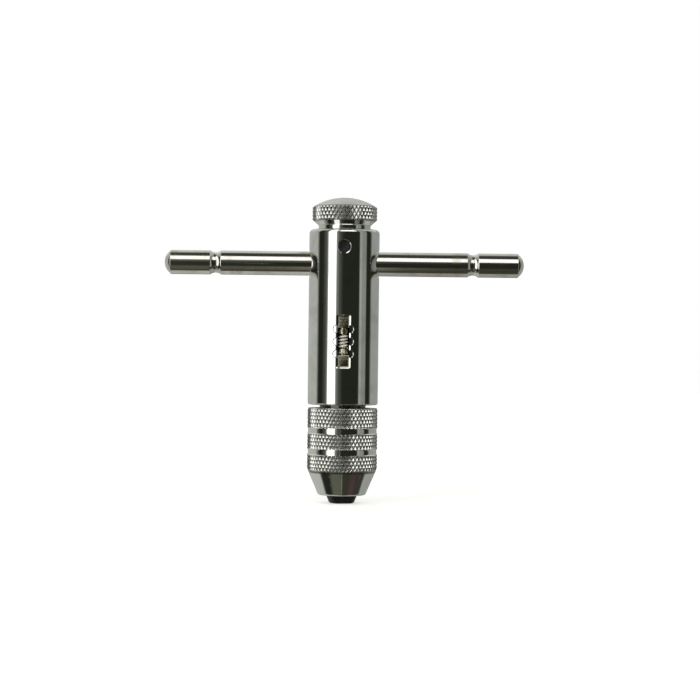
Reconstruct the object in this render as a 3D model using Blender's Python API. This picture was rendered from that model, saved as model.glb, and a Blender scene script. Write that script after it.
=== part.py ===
"""A ratchet tap wrench with a sliding T-bar, made as its separate pieces.

The tool stands upright. +Z runs up the spindle to the selector knob, +X runs along the
T-bar and the pawl window faces -Y. The origin is on the spindle's axis, level with the
tips of the jaws. Every length is in metres.
"""

import math

import bmesh
import bpy

MM = 0.001

# Facets round a full turn, and points on a turn of a coil.
ROUND_STEPS = 36
SMALL_STEPS = 20
PIN_STEPS = 16
COIL_STEPS = 10

# Facets along the short arcs of a turned outline.
EDGE_ARC_STEPS = 4
DOME_ARC_STEPS = 5
CATCH_ARC_STEPS = 6
BALL_ARC_STEPS = 8

# Barrel: the outer tube, with the T-bar's cross hole and the pawl window.
BARREL_RADIUS = 9.75 * MM
BARREL_BORE = 6.6 * MM
BARREL_FOOT = 27.4 * MM
BARREL_TOP = 76.1 * MM
TOP_EDGE_RADIUS = 1.2 * MM
FOOT_CHAMFER = 0.4 * MM
BORE_CHAMFER = 0.3 * MM
COUNTERBORE = 7.4 * MM
COUNTERBORE_DEPTH = 1.2 * MM

# T-bar: a plain rod that slides through the barrel, with a catch groove near each end.
T_BAR_RADIUS = 3.35 * MM
T_BAR_HALF_LENGTH = 50.0 * MM
T_BAR_HEIGHT = 66.6 * MM
T_BAR_DOME = 1.6 * MM
T_BAR_EDGE = 0.2 * MM
CATCH_FROM_END = 14.2 * MM
CATCH_WIDTH = 3.0 * MM
CATCH_DEPTH = 0.55 * MM
CROSS_HOLE_RADIUS = 3.65 * MM

# Gear shift: the knob turns this far each way and lifts the spindle this far each way.
SELECT_TURN = 25.0
SHIFT = 0.8 * MM

# Selector knob and the stem that it is pressed on.
KNOB_TOP = 85.0 * MM
KNOB_DOME_RADIUS = 16.0 * MM
KNOB_DOME_EDGE = 8.7 * MM
KNOB_RADIUS = 9.025 * MM
KNOB_BAND_TOP = 82.2 * MM
KNOB_BAND_FOOT = 78.8 * MM
KNOB_NECK_RADIUS = 7.2 * MM
KNOB_NECK_TOP = 77.35 * MM
KNOB_NECK_FOOT = 75.9 * MM
KNOB_SOCKET_RADIUS = 5.0 * MM
KNOB_SOCKET_TOP = 81.6 * MM
STEM_SPIGOT_RADIUS = 4.9 * MM
STEM_SPIGOT_TOP = 81.4 * MM
STEM_SHOULDER = 75.8 * MM
STEM_RADIUS = 6.4 * MM
STEM_FOOT = 57.4 * MM
STEM_CHAMFER = 0.3 * MM
STEM_BAR_CLEARANCE = 0.3 * MM
STEM_SWEEP_CLEARANCE = 1.5

# Selector pin: pressed in the barrel's small front hole, its nose rides the stem's groove.
PIN_HEIGHT = 71.0 * MM
PIN_HOLE_RADIUS = 1.75 * MM
PIN_RADIUS = 1.65 * MM
PIN_NOSE_RADIUS = 1.1 * MM
PIN_FACE = 9.2 * MM
PIN_SHOULDER = 6.75 * MM
PIN_NOSE_END = 5.55 * MM
GROOVE_FLOOR = 5.4 * MM
GROOVE_HALF_WIDTH = 1.25 * MM
GROOVE_HALF_TURN = 38.0
GROOVE_STEPS = 12

# Detent: a ball and spring in the stem's bore, which press on the T-bar.
BALL_RADIUS = 1.75 * MM
BALL_GAP = 0.05 * MM
DETENT_BORE = 1.9 * MM
DETENT_COIL_RADIUS = 1.35 * MM
DETENT_WIRE = 0.4 * MM
DETENT_TURNS = 8

# Swivel: the spindle's head turns in the stem's cup, under a washer, over a ring.
CUP_RADIUS = 4.4 * MM
CUP_CEILING = 61.2 * MM
WASHER_TOP = 61.05 * MM
WASHER_FOOT = 60.65 * MM
WASHER_RADIUS = 4.2 * MM
WASHER_HOLE = 1.5 * MM
HEAD_TOP = 60.5 * MM
HEAD_FOOT = 59.0 * MM
HEAD_RADIUS = 4.1 * MM
SWIVEL_NECK_RADIUS = 2.6 * MM
RING_SEAT_TOP = 58.95 * MM
RING_SEAT_FOOT = 58.05 * MM
RING_SEAT_RADIUS = 5.1 * MM
RING_RADIUS = 4.95 * MM
RING_HOLE = 2.9 * MM
RING_PLAY = 0.15 * MM
RING_GAP_HALF = 1.6 * MM
RING_CORNER = 0.1 * MM

# Ratchet: two crowns of saw teeth that face each other across the window's middle.
WINDOW_FOOT = 37.9 * MM
WINDOW_TOP = 52.0 * MM
WINDOW_HALF_WIDTH = 1.65 * MM
RATCHET_MIDDLE = (WINDOW_FOOT + WINDOW_TOP) / 2
LOBE_RADIUS = 1.05 * MM
LOBE_PITCH = 3.4 * MM
LOBE_OFFSET = 1.8 * MM
LOBE_FLOOR = 9.15 * MM
CORE_RADIUS = 4.3 * MM
CROWN_HOLE = 4.4 * MM
CROWN_RADIUS = 6.35 * MM
CROWN_TIP = 7.95 * MM
CROWN_ROOT = 9.75 * MM
CROWN_BACK = 12.1 * MM
TOOTH_COUNT = 12
TOOTH_START = -12.0
TOOTH_FACE_TURN = 1.0
RAMP_STEPS = 4
CROWN_PIN_RADIUS = 0.6 * MM
CROWN_PIN_HOLE = 0.7 * MM
CROWN_PIN_HALF = 6.2 * MM
CROWN_PIN_LEVEL = 10.95 * MM

# Pawl: a flat block in the window, with a saw tooth behind the barrel's wall.
PAWL_HALF_WIDTH = 1.55 * MM
PAWL_FACE = 8.7 * MM
PAWL_BACK = 4.6 * MM
PAWL_HEAD_FOOT = 3.75 * MM
PAWL_HEAD_TOP = 6.95 * MM
PAWL_INNER_TOP = 6.75 * MM
PAWL_LIP_FACE = 6.2 * MM
PAWL_TIP = 8.5 * MM
PAWL_RAMP_END = 7.1 * MM
PAWL_STEEP_SIDE = 0.85 * MM
PAWL_TIP_LAND = 0.15 * MM
PAWL_RAMP_SIDE = 1.3 * MM
BOSS_CENTRE = 7.4 * MM
BOSS_NECK_RADIUS = 0.9 * MM
BOSS_TOP = 3.35 * MM
BOSS_FOOT = 2.05 * MM
BOSS_TOP_RADIUS = 1.5 * MM
BOSS_FOOT_RADIUS = 1.2 * MM
BOSS_ROOT_DEPTH = 1.0 * MM
JOIN_OVERLAP = 0.5 * MM
TOOTH_INSET = 0.05 * MM
SPIGOT_RADIUS = 0.55 * MM
SPIGOT_FOOT = 1.7 * MM
PAWL_COIL_HALF = 1.93 * MM
PAWL_COIL_RADIUS = 1.1 * MM
PAWL_WIRE = 0.42 * MM
PAWL_COIL_TURNS = 4.5

# Spindle below the ratchet: journal, threaded shank and the jaws' slot.
JOURNAL_RADIUS = 6.4 * MM
JOURNAL_TOP = 32.75 * MM
SHANK_TOP = 26.4 * MM
SHANK_RADIUS = 7.85 * MM
RELIEF_TOP = 24.6 * MM
RELIEF_FOOT = 19.3 * MM
RELIEF_RADIUS = 7.15 * MM
SHANK_FOOT = 11.0 * MM
SHANK_CHAMFER = 0.4 * MM
SLOT_TOP = 15.6 * MM
SLOT_HALF_WIDTH = 3.1 * MM

# Chuck sleeve: screws up the shank and closes the jaws with its cone.
SLEEVE_RADIUS = 9.775 * MM
SLEEVE_TOP = 26.5 * MM
SLEEVE_BORE = 8.0 * MM
SLEEVE_EDGE = 0.25 * MM
BAND_GROOVES = ((21.05 * MM, 19.35 * MM), (15.2 * MM, 13.5 * MM))
BAND_GROOVE_DEPTH = 0.24 * MM
CONE_TOP = 9.8 * MM
CONE_ANGLE = 23.3
NOSE = 2.3 * MM
NOSE_EDGE_RADIUS = 0.8 * MM
NOSE_HOLE = 4.6 * MM
JAW_CONE_ANGLE = 22.0
STOP_SEAT_TOP = 24.55 * MM
STOP_SEAT_FOOT = 23.35 * MM
STOP_SEAT_RADIUS = 8.35 * MM
STOP_RING_RADIUS = 8.2 * MM
STOP_RING_HOLE = 7.3 * MM
STOP_RING_PLAY = 0.15 * MM
STOP_RING_CORNER = 0.25 * MM
STOP_RING_GAP_HALF = 1.2 * MM

# Jaws: two halves of a cone in the spindle's slot, pushed apart by a spring.
JAW_TURN = 14.0
JAW_TOP = 15.4 * MM
JAW_HALF_WIDTH = 3.0 * MM
JAW_HALF_GAP = 0.25 * MM
JAW_NOSE_RADIUS = 4.35 * MM
JAW_LIMIT_RADIUS = 6.3 * MM
JAW_TIP_EDGE = 0.5 * MM
JAW_TIP_BEND = 0.3
JAW_NOTCH = 1.7 * MM
JAW_NOTCH_TOP = 10.0 * MM
JAW_SPRING_HEIGHT = 12.8 * MM
JAW_POCKET_RADIUS = 1.3 * MM
JAW_POCKET_END = 2.45 * MM
JAW_COIL_RADIUS = 0.9 * MM
JAW_WIRE = 0.34 * MM
JAW_COIL_HALF = 2.05 * MM
JAW_COIL_TURNS = 5

REACH = 20.0 * MM
SMOOTH_ANGLE = math.radians(30.0)


def clear_scene():
    """Remove whatever objects the file starts with."""
    for obj in list(bpy.data.objects):
        bpy.data.objects.remove(obj)


def metal(name, colour, roughness, metallic=1.0):
    """Make a Principled BSDF material from a base colour and two values."""
    material = bpy.data.materials.new(name)
    material.use_nodes = True
    shader = material.node_tree.nodes["Principled BSDF"]
    shader.inputs["Base Color"].default_value = (*colour, 1.0)
    shader.inputs["Roughness"].default_value = roughness
    shader.inputs["Metallic"].default_value = metallic
    return material


def add_object(name, mesh_builder):
    """Turn a finished bmesh into a linked object with its faces pointing out."""
    bmesh.ops.remove_doubles(mesh_builder, verts=mesh_builder.verts, dist=0.0001 * MM)
    bmesh.ops.recalc_face_normals(mesh_builder, faces=mesh_builder.faces)
    mesh = bpy.data.meshes.new(name)
    mesh_builder.to_mesh(mesh)
    mesh_builder.free()
    obj = bpy.data.objects.new(name, mesh)
    bpy.context.scene.collection.objects.link(obj)
    return obj


def finish(obj, material):
    """Give a piece its material and smooth shading with crisp edges."""
    obj.data.materials.clear()
    obj.data.materials.append(material)
    obj.data.shade_smooth()
    obj.data.set_sharp_from_angle(angle=SMOOTH_ANGLE)
    return obj


def arc(centre, radius, start, end, steps):
    """Points on an arc in the (radius, height) plane, angles in degrees."""
    points = []
    for step in range(steps + 1):
        angle = math.radians(start + (end - start) * step / steps)
        points.append((centre[0] + radius * math.cos(angle), centre[1] + radius * math.sin(angle)))
    return points


def turned(name, outline, closed, steps=ROUND_STEPS):
    """Spin a (radius, height) outline about Z.

    A closed outline makes a ring. An open one starts and ends on the axis.
    """
    builder = bmesh.new()
    corners = [builder.verts.new((radius, 0.0, height)) for radius, height in outline]
    ends = corners[1:] + corners[:1] if closed else corners[1:]
    edges = [builder.edges.new(pair) for pair in zip(corners, ends)]
    bmesh.ops.spin(
        builder,
        geom=corners + edges,
        cent=(0.0, 0.0, 0.0),
        axis=(0.0, 0.0, 1.0),
        angle=math.tau,
        steps=steps,
        use_merge=True,
    )
    return add_object(name, builder)


def skin(name, loops, closed):
    """Join equal loops of points with quads, into a ring or a bar with two end faces."""
    builder = bmesh.new()
    rows = [[builder.verts.new(point) for point in loop] for loop in loops]
    size = len(rows[0])
    following = rows[1:] + rows[:1] if closed else rows[1:]
    for row, after in zip(rows, following):
        for index in range(size):
            step = (index + 1) % size
            builder.faces.new((row[index], row[step], after[step], after[index]))
    if not closed:
        builder.faces.new(rows[0])
        builder.faces.new(rows[-1])
    return add_object(name, builder)


def prism(name, outline, low, high, along="Z"):
    """Extrude an outline along Z, or an (x, z) outline along Y."""
    if along == "Z":
        loops = [[(x, y, level) for x, y in outline] for level in (low, high)]
    else:
        loops = [[(x, level, z) for x, z in outline] for level in (low, high)]
    return skin(name, loops, closed=False)


def box(name, low, high):
    """A block between two corners."""
    outline = ((low[0], low[1]), (high[0], low[1]), (high[0], high[1]), (low[0], high[1]))
    return prism(name, outline, low[2], high[2])


def rod(name, radius, low, high, steps=SMALL_STEPS):
    """A plain cylinder along Z between two heights."""
    return turned(name, ((0.0, high), (radius, high), (radius, low), (0.0, low)), False, steps)


def lay(obj, rotation, location=(0.0, 0.0, 0.0)):
    """Turn a piece by degrees about X, Y and Z and move it."""
    obj.rotation_euler = [math.radians(angle) for angle in rotation]
    obj.location = location
    return obj


def combine(target, tool, operation="DIFFERENCE"):
    """Cut, join or trim a piece with a tool solid, which is then removed."""
    step = target.modifiers.new(tool.name, "BOOLEAN")
    step.operation = operation
    step.object = tool
    bpy.context.view_layer.update()
    evaluated = target.evaluated_get(bpy.context.evaluated_depsgraph_get())
    mesh = bpy.data.meshes.new_from_object(evaluated)
    target.modifiers.clear()
    target.data = mesh
    bpy.data.objects.remove(tool)


def coil(name, radius, wire, turns, low, high):
    """A compression spring of round wire about Z, between two heights."""
    data = bpy.data.curves.new(name, "CURVE")
    data.dimensions = "3D"
    data.bevel_depth = wire / 2
    data.bevel_resolution = 1
    data.render_resolution_u = 0
    data.use_fill_caps = True
    steps = int(turns * COIL_STEPS)
    spline = data.splines.new("POLY")
    spline.points.add(steps)
    bottom = low + wire / 2
    rise = high - low - wire
    for step in range(steps + 1):
        share = step / steps
        angle = math.tau * turns * share
        point = (radius * math.cos(angle), radius * math.sin(angle), bottom + rise * share)
        spline.points[step].co = (*point, 1.0)
    obj = bpy.data.objects.new(name, data)
    bpy.context.scene.collection.objects.link(obj)
    return obj


def make_barrel(material):
    """The tube that everything turns in, cut for the T-bar, the pin and the pawls.

    Three pairs of shallow half-round notches sit beside the pawl window.
    """
    edge_centre = (BARREL_RADIUS - TOP_EDGE_RADIUS, BARREL_TOP - TOP_EDGE_RADIUS)
    outline = [(COUNTERBORE, BARREL_TOP)]
    outline += arc(edge_centre, TOP_EDGE_RADIUS, 90.0, 0.0, EDGE_ARC_STEPS)
    outline += [
        (BARREL_RADIUS, BARREL_FOOT + FOOT_CHAMFER),
        (BARREL_RADIUS - FOOT_CHAMFER, BARREL_FOOT),
        (BARREL_BORE + BORE_CHAMFER, BARREL_FOOT),
        (BARREL_BORE, BARREL_FOOT + BORE_CHAMFER),
        (BARREL_BORE, BARREL_TOP - COUNTERBORE_DEPTH),
        (COUNTERBORE, BARREL_TOP - COUNTERBORE_DEPTH),
    ]
    barrel = turned("barrel", outline, closed=True)
    cross_hole = rod("cross_hole", CROSS_HOLE_RADIUS, -REACH, REACH)
    combine(barrel, lay(cross_hole, (0.0, 90.0, 0.0), (0.0, 0.0, T_BAR_HEIGHT)))
    pin_hole = rod("pin_hole", PIN_HOLE_RADIUS, 0.0, REACH)
    combine(barrel, lay(pin_hole, (90.0, 0.0, 0.0), (0.0, 0.0, PIN_HEIGHT)))
    slot_low = (-WINDOW_HALF_WIDTH, -REACH, WINDOW_FOOT)
    slot_high = (WINDOW_HALF_WIDTH, 0.0, WINDOW_TOP)
    combine(barrel, box("window_slot", slot_low, slot_high))
    for index in (-1, 0, 1):
        height = RATCHET_MIDDLE + index * LOBE_PITCH
        for side in (-LOBE_OFFSET, LOBE_OFFSET):
            lobe = rod("window_lobe", LOBE_RADIUS, LOBE_FLOOR, REACH)
            combine(barrel, lay(lobe, (90.0, 0.0, 0.0), (side, 0.0, height)))
    return finish(barrel, material)


def make_t_bar(material):
    """The cross handle: a rod with domed ends and a catch groove near each end."""
    base = T_BAR_RADIUS - T_BAR_EDGE
    dome_radius = (base**2 + T_BAR_DOME**2) / (2 * T_BAR_DOME)
    dome_centre = T_BAR_HALF_LENGTH - dome_radius
    dome_end = math.degrees(math.asin((T_BAR_HALF_LENGTH - T_BAR_DOME - dome_centre) / dome_radius))
    half = CATCH_WIDTH / 2
    catch_radius = (half**2 + CATCH_DEPTH**2) / (2 * CATCH_DEPTH)
    catch_turn = math.degrees(math.asin(half / catch_radius))
    catch_centre = (
        T_BAR_RADIUS - CATCH_DEPTH + catch_radius,
        T_BAR_HALF_LENGTH - CATCH_FROM_END,
    )
    upper = arc((0.0, dome_centre), dome_radius, 90.0, dome_end, DOME_ARC_STEPS)
    upper[0] = (0.0, T_BAR_HALF_LENGTH)
    upper.append((T_BAR_RADIUS, T_BAR_HALF_LENGTH - T_BAR_DOME - T_BAR_EDGE))
    catch_start = 180.0 - catch_turn
    catch_end = 180.0 + catch_turn
    upper += arc(catch_centre, catch_radius, catch_start, catch_end, CATCH_ARC_STEPS)
    lower = [(radius, -height) for radius, height in reversed(upper)]
    bar = turned("t_bar", upper + lower, closed=False, steps=SMALL_STEPS)
    return finish(lay(bar, (0.0, 90.0, 0.0), (0.0, 0.0, T_BAR_HEIGHT)), material)


def make_knob(material):
    """The selector knob: a domed cap on a neck, hollow for the stem's spigot."""
    dome_centre = (0.0, KNOB_TOP - KNOB_DOME_RADIUS)
    dome_end = math.degrees(math.acos(KNOB_DOME_EDGE / KNOB_DOME_RADIUS))
    outline = arc(dome_centre, KNOB_DOME_RADIUS, 90.0, dome_end, DOME_ARC_STEPS)
    outline[0] = (0.0, KNOB_TOP)
    outline += [
        (KNOB_RADIUS, KNOB_BAND_TOP),
        (KNOB_RADIUS, KNOB_BAND_FOOT),
        (KNOB_NECK_RADIUS, KNOB_NECK_TOP),
        (KNOB_NECK_RADIUS, KNOB_NECK_FOOT),
        (KNOB_SOCKET_RADIUS, KNOB_NECK_FOOT),
        (KNOB_SOCKET_RADIUS, KNOB_SOCKET_TOP),
        (0.0, KNOB_SOCKET_TOP),
    ]
    return finish(turned("knob", outline, closed=False), material)


def make_stem(material):
    """The selector stem, with the T-bar's bow-tie slot, the pin groove and the cup."""
    half_height = T_BAR_RADIUS + SHIFT + STEM_BAR_CLEARANCE
    outline = [
        (0.0, T_BAR_HEIGHT),
        (DETENT_BORE, T_BAR_HEIGHT),
        (DETENT_BORE, STEM_SPIGOT_TOP),
        (STEM_SPIGOT_RADIUS - STEM_CHAMFER, STEM_SPIGOT_TOP),
        (STEM_SPIGOT_RADIUS, STEM_SPIGOT_TOP - STEM_CHAMFER),
        (STEM_SPIGOT_RADIUS, STEM_SHOULDER),
        (STEM_RADIUS, STEM_SHOULDER),
        (STEM_RADIUS, STEM_FOOT),
        (CUP_RADIUS, STEM_FOOT),
        (CUP_RADIUS, RING_SEAT_FOOT),
        (RING_SEAT_RADIUS, RING_SEAT_FOOT),
        (RING_SEAT_RADIUS, RING_SEAT_TOP),
        (CUP_RADIUS, RING_SEAT_TOP),
        (CUP_RADIUS, CUP_CEILING),
        (0.0, CUP_CEILING),
    ]
    stem = turned("selector_stem", outline, closed=False)
    sweep = math.radians(SELECT_TURN + STEM_SWEEP_CLEARANCE)
    waist = (T_BAR_RADIUS + STEM_BAR_CLEARANCE) / math.cos(sweep)
    side = REACH * math.cos(sweep)
    flare = waist + REACH * math.sin(sweep)
    bow_tie = ((0, -waist), (side, -flare), (side, flare), (0, waist), (-side, flare), (-side, -flare))
    low = T_BAR_HEIGHT - half_height
    high = T_BAR_HEIGHT + half_height
    combine(stem, prism("bar_slot", bow_tie, low, high))
    loops = []
    for step in range(GROOVE_STEPS + 1):
        turn = GROOVE_HALF_TURN * (2 * step / GROOVE_STEPS - 1)
        angle = math.radians(turn - 90.0)
        height = PIN_HEIGHT + SHIFT * turn / SELECT_TURN
        low = height - GROOVE_HALF_WIDTH
        high = height + GROOVE_HALF_WIDTH
        corners = ((GROOVE_FLOOR, low), (BARREL_RADIUS, low), (BARREL_RADIUS, high), (GROOVE_FLOOR, high))
        loops.append([(r * math.cos(angle), r * math.sin(angle), z) for r, z in corners])
    combine(stem, skin("pin_groove", loops, closed=False))
    return finish(stem, material)


def make_selector_pin(material):
    """The pin whose nose runs in the stem's inclined groove."""
    outline = (
        (0.0, PIN_FACE),
        (PIN_RADIUS - STEM_CHAMFER, PIN_FACE),
        (PIN_RADIUS, PIN_FACE - STEM_CHAMFER),
        (PIN_RADIUS, PIN_SHOULDER),
        (PIN_NOSE_RADIUS, PIN_SHOULDER),
        (PIN_NOSE_RADIUS, PIN_NOSE_END),
        (0.0, PIN_NOSE_END),
    )
    pin = turned("selector_pin", outline, closed=False, steps=SMALL_STEPS)
    return finish(lay(pin, (90.0, 0.0, 0.0), (0.0, 0.0, PIN_HEIGHT)), material)


def make_detent(ball_material, spring_material):
    """The ball on the T-bar and the spring above it."""
    ball_height = T_BAR_HEIGHT + T_BAR_RADIUS + BALL_GAP + BALL_RADIUS
    outline = arc((0.0, 0.0), BALL_RADIUS, 90.0, -90.0, BALL_ARC_STEPS)
    outline[0] = (0.0, BALL_RADIUS)
    outline[-1] = (0.0, -BALL_RADIUS)
    ball = turned("detent_ball", outline, closed=False, steps=PIN_STEPS)
    ball.location = (0.0, 0.0, ball_height)
    finish(ball, ball_material)
    low = ball_height + BALL_RADIUS + BALL_GAP
    high = KNOB_SOCKET_TOP - BALL_GAP
    spring = coil("detent_spring", DETENT_COIL_RADIUS, DETENT_WIRE, DETENT_TURNS, low, high)
    spring.data.materials.append(spring_material)


def make_split_ring(name, hole, radius, low, high, corner, gap_half, material):
    """A snap ring: a ring with small corner chamfers and a gap at the back."""
    outline = (
        (hole + corner, high),
        (radius - corner, high),
        (radius, high - corner),
        (radius, low + corner),
        (radius - corner, low),
        (hole + corner, low),
        (hole, low + corner),
        (hole, high - corner),
    )
    ring = turned(name, outline, closed=True)
    gap_low = (-gap_half, 0.0, low - REACH)
    gap_high = (gap_half, REACH, high + REACH)
    combine(ring, box("ring_gap", gap_low, gap_high))
    return finish(ring, material)


def make_swivel(steel_material, spring_material):
    """The washer over the spindle's head and the snap ring under it."""
    outline = (
        (WASHER_HOLE, WASHER_TOP),
        (WASHER_RADIUS, WASHER_TOP),
        (WASHER_RADIUS, WASHER_FOOT),
        (WASHER_HOLE, WASHER_FOOT),
    )
    finish(turned("thrust_washer", outline, closed=True), steel_material)
    make_split_ring(
        "retaining_ring",
        RING_HOLE,
        RING_RADIUS,
        RING_SEAT_FOOT + RING_PLAY,
        RING_SEAT_TOP - RING_PLAY,
        RING_CORNER,
        RING_GAP_HALF,
        spring_material,
    )


def make_spindle(material):
    """The spindle: head, core, journal and a shank slotted for the jaws."""
    outline = (
        (0.0, HEAD_TOP),
        (HEAD_RADIUS, HEAD_TOP),
        (HEAD_RADIUS, HEAD_FOOT),
        (SWIVEL_NECK_RADIUS, HEAD_FOOT),
        (SWIVEL_NECK_RADIUS, RATCHET_MIDDLE + CROWN_BACK),
        (CORE_RADIUS, RATCHET_MIDDLE + CROWN_BACK),
        (CORE_RADIUS, JOURNAL_TOP),
        (JOURNAL_RADIUS, JOURNAL_TOP),
        (JOURNAL_RADIUS, SHANK_TOP),
        (SHANK_RADIUS, SHANK_TOP),
        (SHANK_RADIUS, RELIEF_TOP),
        (RELIEF_RADIUS, RELIEF_TOP),
        (RELIEF_RADIUS, RELIEF_FOOT),
        (SHANK_RADIUS, RELIEF_FOOT),
        (SHANK_RADIUS, SHANK_FOOT + SHANK_CHAMFER),
        (SHANK_RADIUS - SHANK_CHAMFER, SHANK_FOOT),
        (0.0, SHANK_FOOT),
    )
    spindle = turned("spindle", outline, closed=False)
    slot_low = (-REACH, -SLOT_HALF_WIDTH, 0.0)
    slot_high = (REACH, SLOT_HALF_WIDTH, SLOT_TOP)
    combine(spindle, lay(box("jaw_slot", slot_low, slot_high), (0.0, 0.0, JAW_TURN)))
    for side in (-1, 1):
        hole = rod("crown_pin_hole", CROWN_PIN_HOLE, -REACH, REACH, PIN_STEPS)
        height = RATCHET_MIDDLE + side * CROWN_PIN_LEVEL
        combine(spindle, lay(hole, (0.0, 90.0, 0.0), (0.0, 0.0, height)))
    return finish(spindle, material)


def make_ratchet(crown_material, pin_material):
    """Two crowns of saw teeth and their cross pins.

    Each tooth climbs from root to tip along a ramp and drops back at a steep face. The
    lower crown is the upper one turned over about Y, so its teeth hold the other way.
    """
    pitch = 360.0 / TOOTH_COUNT
    loops = []
    for tooth in range(TOOTH_COUNT):
        for step in range(RAMP_STEPS + 1):
            share = step / RAMP_STEPS
            turn = TOOTH_START + pitch * tooth + (pitch - TOOTH_FACE_TURN) * share
            level = CROWN_ROOT + (CROWN_TIP - CROWN_ROOT) * share
            angle = math.radians(turn - 90.0)
            corners = (
                (CROWN_HOLE, level),
                (CROWN_RADIUS, level),
                (CROWN_RADIUS, CROWN_BACK),
                (CROWN_HOLE, CROWN_BACK),
            )
            loops.append([(r * math.cos(angle), r * math.sin(angle), z) for r, z in corners])
    for name, turn, side in (("upper", 0.0, 1), ("lower", 180.0, -1)):
        crown = skin(f"ratchet_crown_{name}", loops, closed=True)
        hole = rod("crown_hole", CROWN_PIN_HOLE, -REACH, REACH, PIN_STEPS)
        combine(crown, lay(hole, (0.0, 90.0, 0.0), (0.0, 0.0, CROWN_PIN_LEVEL)))
        finish(lay(crown, (0.0, turn, 0.0), (0.0, 0.0, RATCHET_MIDDLE)), crown_material)
        pin = rod(f"crown_pin_{name}", CROWN_PIN_RADIUS, -CROWN_PIN_HALF, CROWN_PIN_HALF, PIN_STEPS)
        height = RATCHET_MIDDLE + side * CROWN_PIN_LEVEL
        finish(lay(pin, (0.0, 90.0, 0.0), (0.0, 0.0, height)), pin_material)


def make_pawls(pawl_material, spring_material):
    """Two pawls, the same block used both ways up, and the spring between them."""
    for name, turn in (("upper", 0.0), ("lower", 180.0)):
        head_low = (-PAWL_HALF_WIDTH, -PAWL_FACE, PAWL_HEAD_FOOT)
        head_high = (PAWL_HALF_WIDTH, -PAWL_LIP_FACE, PAWL_HEAD_TOP)
        pawl = box(f"pawl_{name}", head_low, head_high)
        inner_low = (-PAWL_HALF_WIDTH, -PAWL_LIP_FACE - JOIN_OVERLAP, PAWL_HEAD_FOOT)
        inner_high = (PAWL_HALF_WIDTH, -PAWL_BACK, PAWL_INNER_TOP)
        combine(pawl, box("pawl_inner", inner_low, inner_high), "UNION")
        root = PAWL_HEAD_FOOT + BOSS_ROOT_DEPTH
        tooth = (
            (-PAWL_STEEP_SIDE, root),
            (PAWL_RAMP_SIDE, root),
            (PAWL_RAMP_SIDE, PAWL_RAMP_END),
            (PAWL_TIP_LAND - PAWL_STEEP_SIDE, PAWL_TIP),
            (-PAWL_STEEP_SIDE, PAWL_TIP),
        )
        front = -PAWL_LIP_FACE + TOOTH_INSET
        back = -PAWL_BACK - TOOTH_INSET
        tooth_solid = prism("pawl_tooth", tooth, front, back, "Y")
        combine(pawl, tooth_solid, "UNION")
        boss_outline = (
            (0.0, root),
            (BOSS_NECK_RADIUS, root),
            (BOSS_NECK_RADIUS, BOSS_TOP),
            (BOSS_TOP_RADIUS, BOSS_TOP),
            (BOSS_FOOT_RADIUS, BOSS_FOOT),
            (SPIGOT_RADIUS, BOSS_FOOT),
            (SPIGOT_RADIUS, SPIGOT_FOOT),
            (0.0, SPIGOT_FOOT),
        )
        boss = turned("pawl_boss", boss_outline, closed=False, steps=SMALL_STEPS)
        boss.location = (0.0, -BOSS_CENTRE, 0.0)
        combine(pawl, boss, "UNION")
        finish(lay(pawl, (0.0, turn, 0.0), (0.0, 0.0, RATCHET_MIDDLE)), pawl_material)
    spring = coil(
        "pawl_spring",
        PAWL_COIL_RADIUS,
        PAWL_WIRE,
        PAWL_COIL_TURNS,
        -PAWL_COIL_HALF,
        PAWL_COIL_HALF,
    )
    spring.location = (0.0, -BOSS_CENTRE, RATCHET_MIDDLE)
    spring.data.materials.append(spring_material)


def make_sleeve(sleeve_material, ring_material):
    """The chuck sleeve with three grip bands and a nose cone, and its stop ring."""
    lean = math.radians(CONE_ANGLE)
    corner_radius = SLEEVE_RADIUS - (CONE_TOP - NOSE) * math.tan(lean)
    half_corner = (math.pi / 2 + lean) / 2
    fillet_back = NOSE_EDGE_RADIUS / math.tan(half_corner)
    fillet_centre = (corner_radius - fillet_back, NOSE + NOSE_EDGE_RADIUS)
    outline = [
        (SLEEVE_BORE + SLEEVE_EDGE, SLEEVE_TOP),
        (SLEEVE_RADIUS - SLEEVE_EDGE, SLEEVE_TOP),
        (SLEEVE_RADIUS, SLEEVE_TOP - SLEEVE_EDGE),
    ]
    for top, foot in BAND_GROOVES:
        floor = SLEEVE_RADIUS - BAND_GROOVE_DEPTH
        outline.append((SLEEVE_RADIUS, top))
        outline.append((floor, top - BAND_GROOVE_DEPTH))
        outline.append((floor, foot + BAND_GROOVE_DEPTH))
        outline.append((SLEEVE_RADIUS, foot))
    outline.append((SLEEVE_RADIUS, CONE_TOP))
    outline += arc(fillet_centre, NOSE_EDGE_RADIUS, -math.degrees(lean), -90.0, EDGE_ARC_STEPS)
    cone_height = (SLEEVE_BORE - NOSE_HOLE) / math.tan(math.radians(JAW_CONE_ANGLE))
    outline += [
        (NOSE_HOLE, NOSE),
        (SLEEVE_BORE, NOSE + cone_height),
        (SLEEVE_BORE, STOP_SEAT_FOOT),
        (STOP_SEAT_RADIUS, STOP_SEAT_FOOT),
        (STOP_SEAT_RADIUS, STOP_SEAT_TOP),
        (SLEEVE_BORE, STOP_SEAT_TOP),
        (SLEEVE_BORE, SLEEVE_TOP - SLEEVE_EDGE),
    ]
    finish(turned("chuck_sleeve", outline, closed=True), sleeve_material)
    make_split_ring(
        "sleeve_stop_ring",
        STOP_RING_HOLE,
        STOP_RING_RADIUS,
        STOP_SEAT_FOOT + STOP_RING_PLAY,
        STOP_SEAT_TOP - STOP_RING_PLAY,
        STOP_RING_CORNER,
        STOP_RING_GAP_HALF,
        ring_material,
    )


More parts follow.
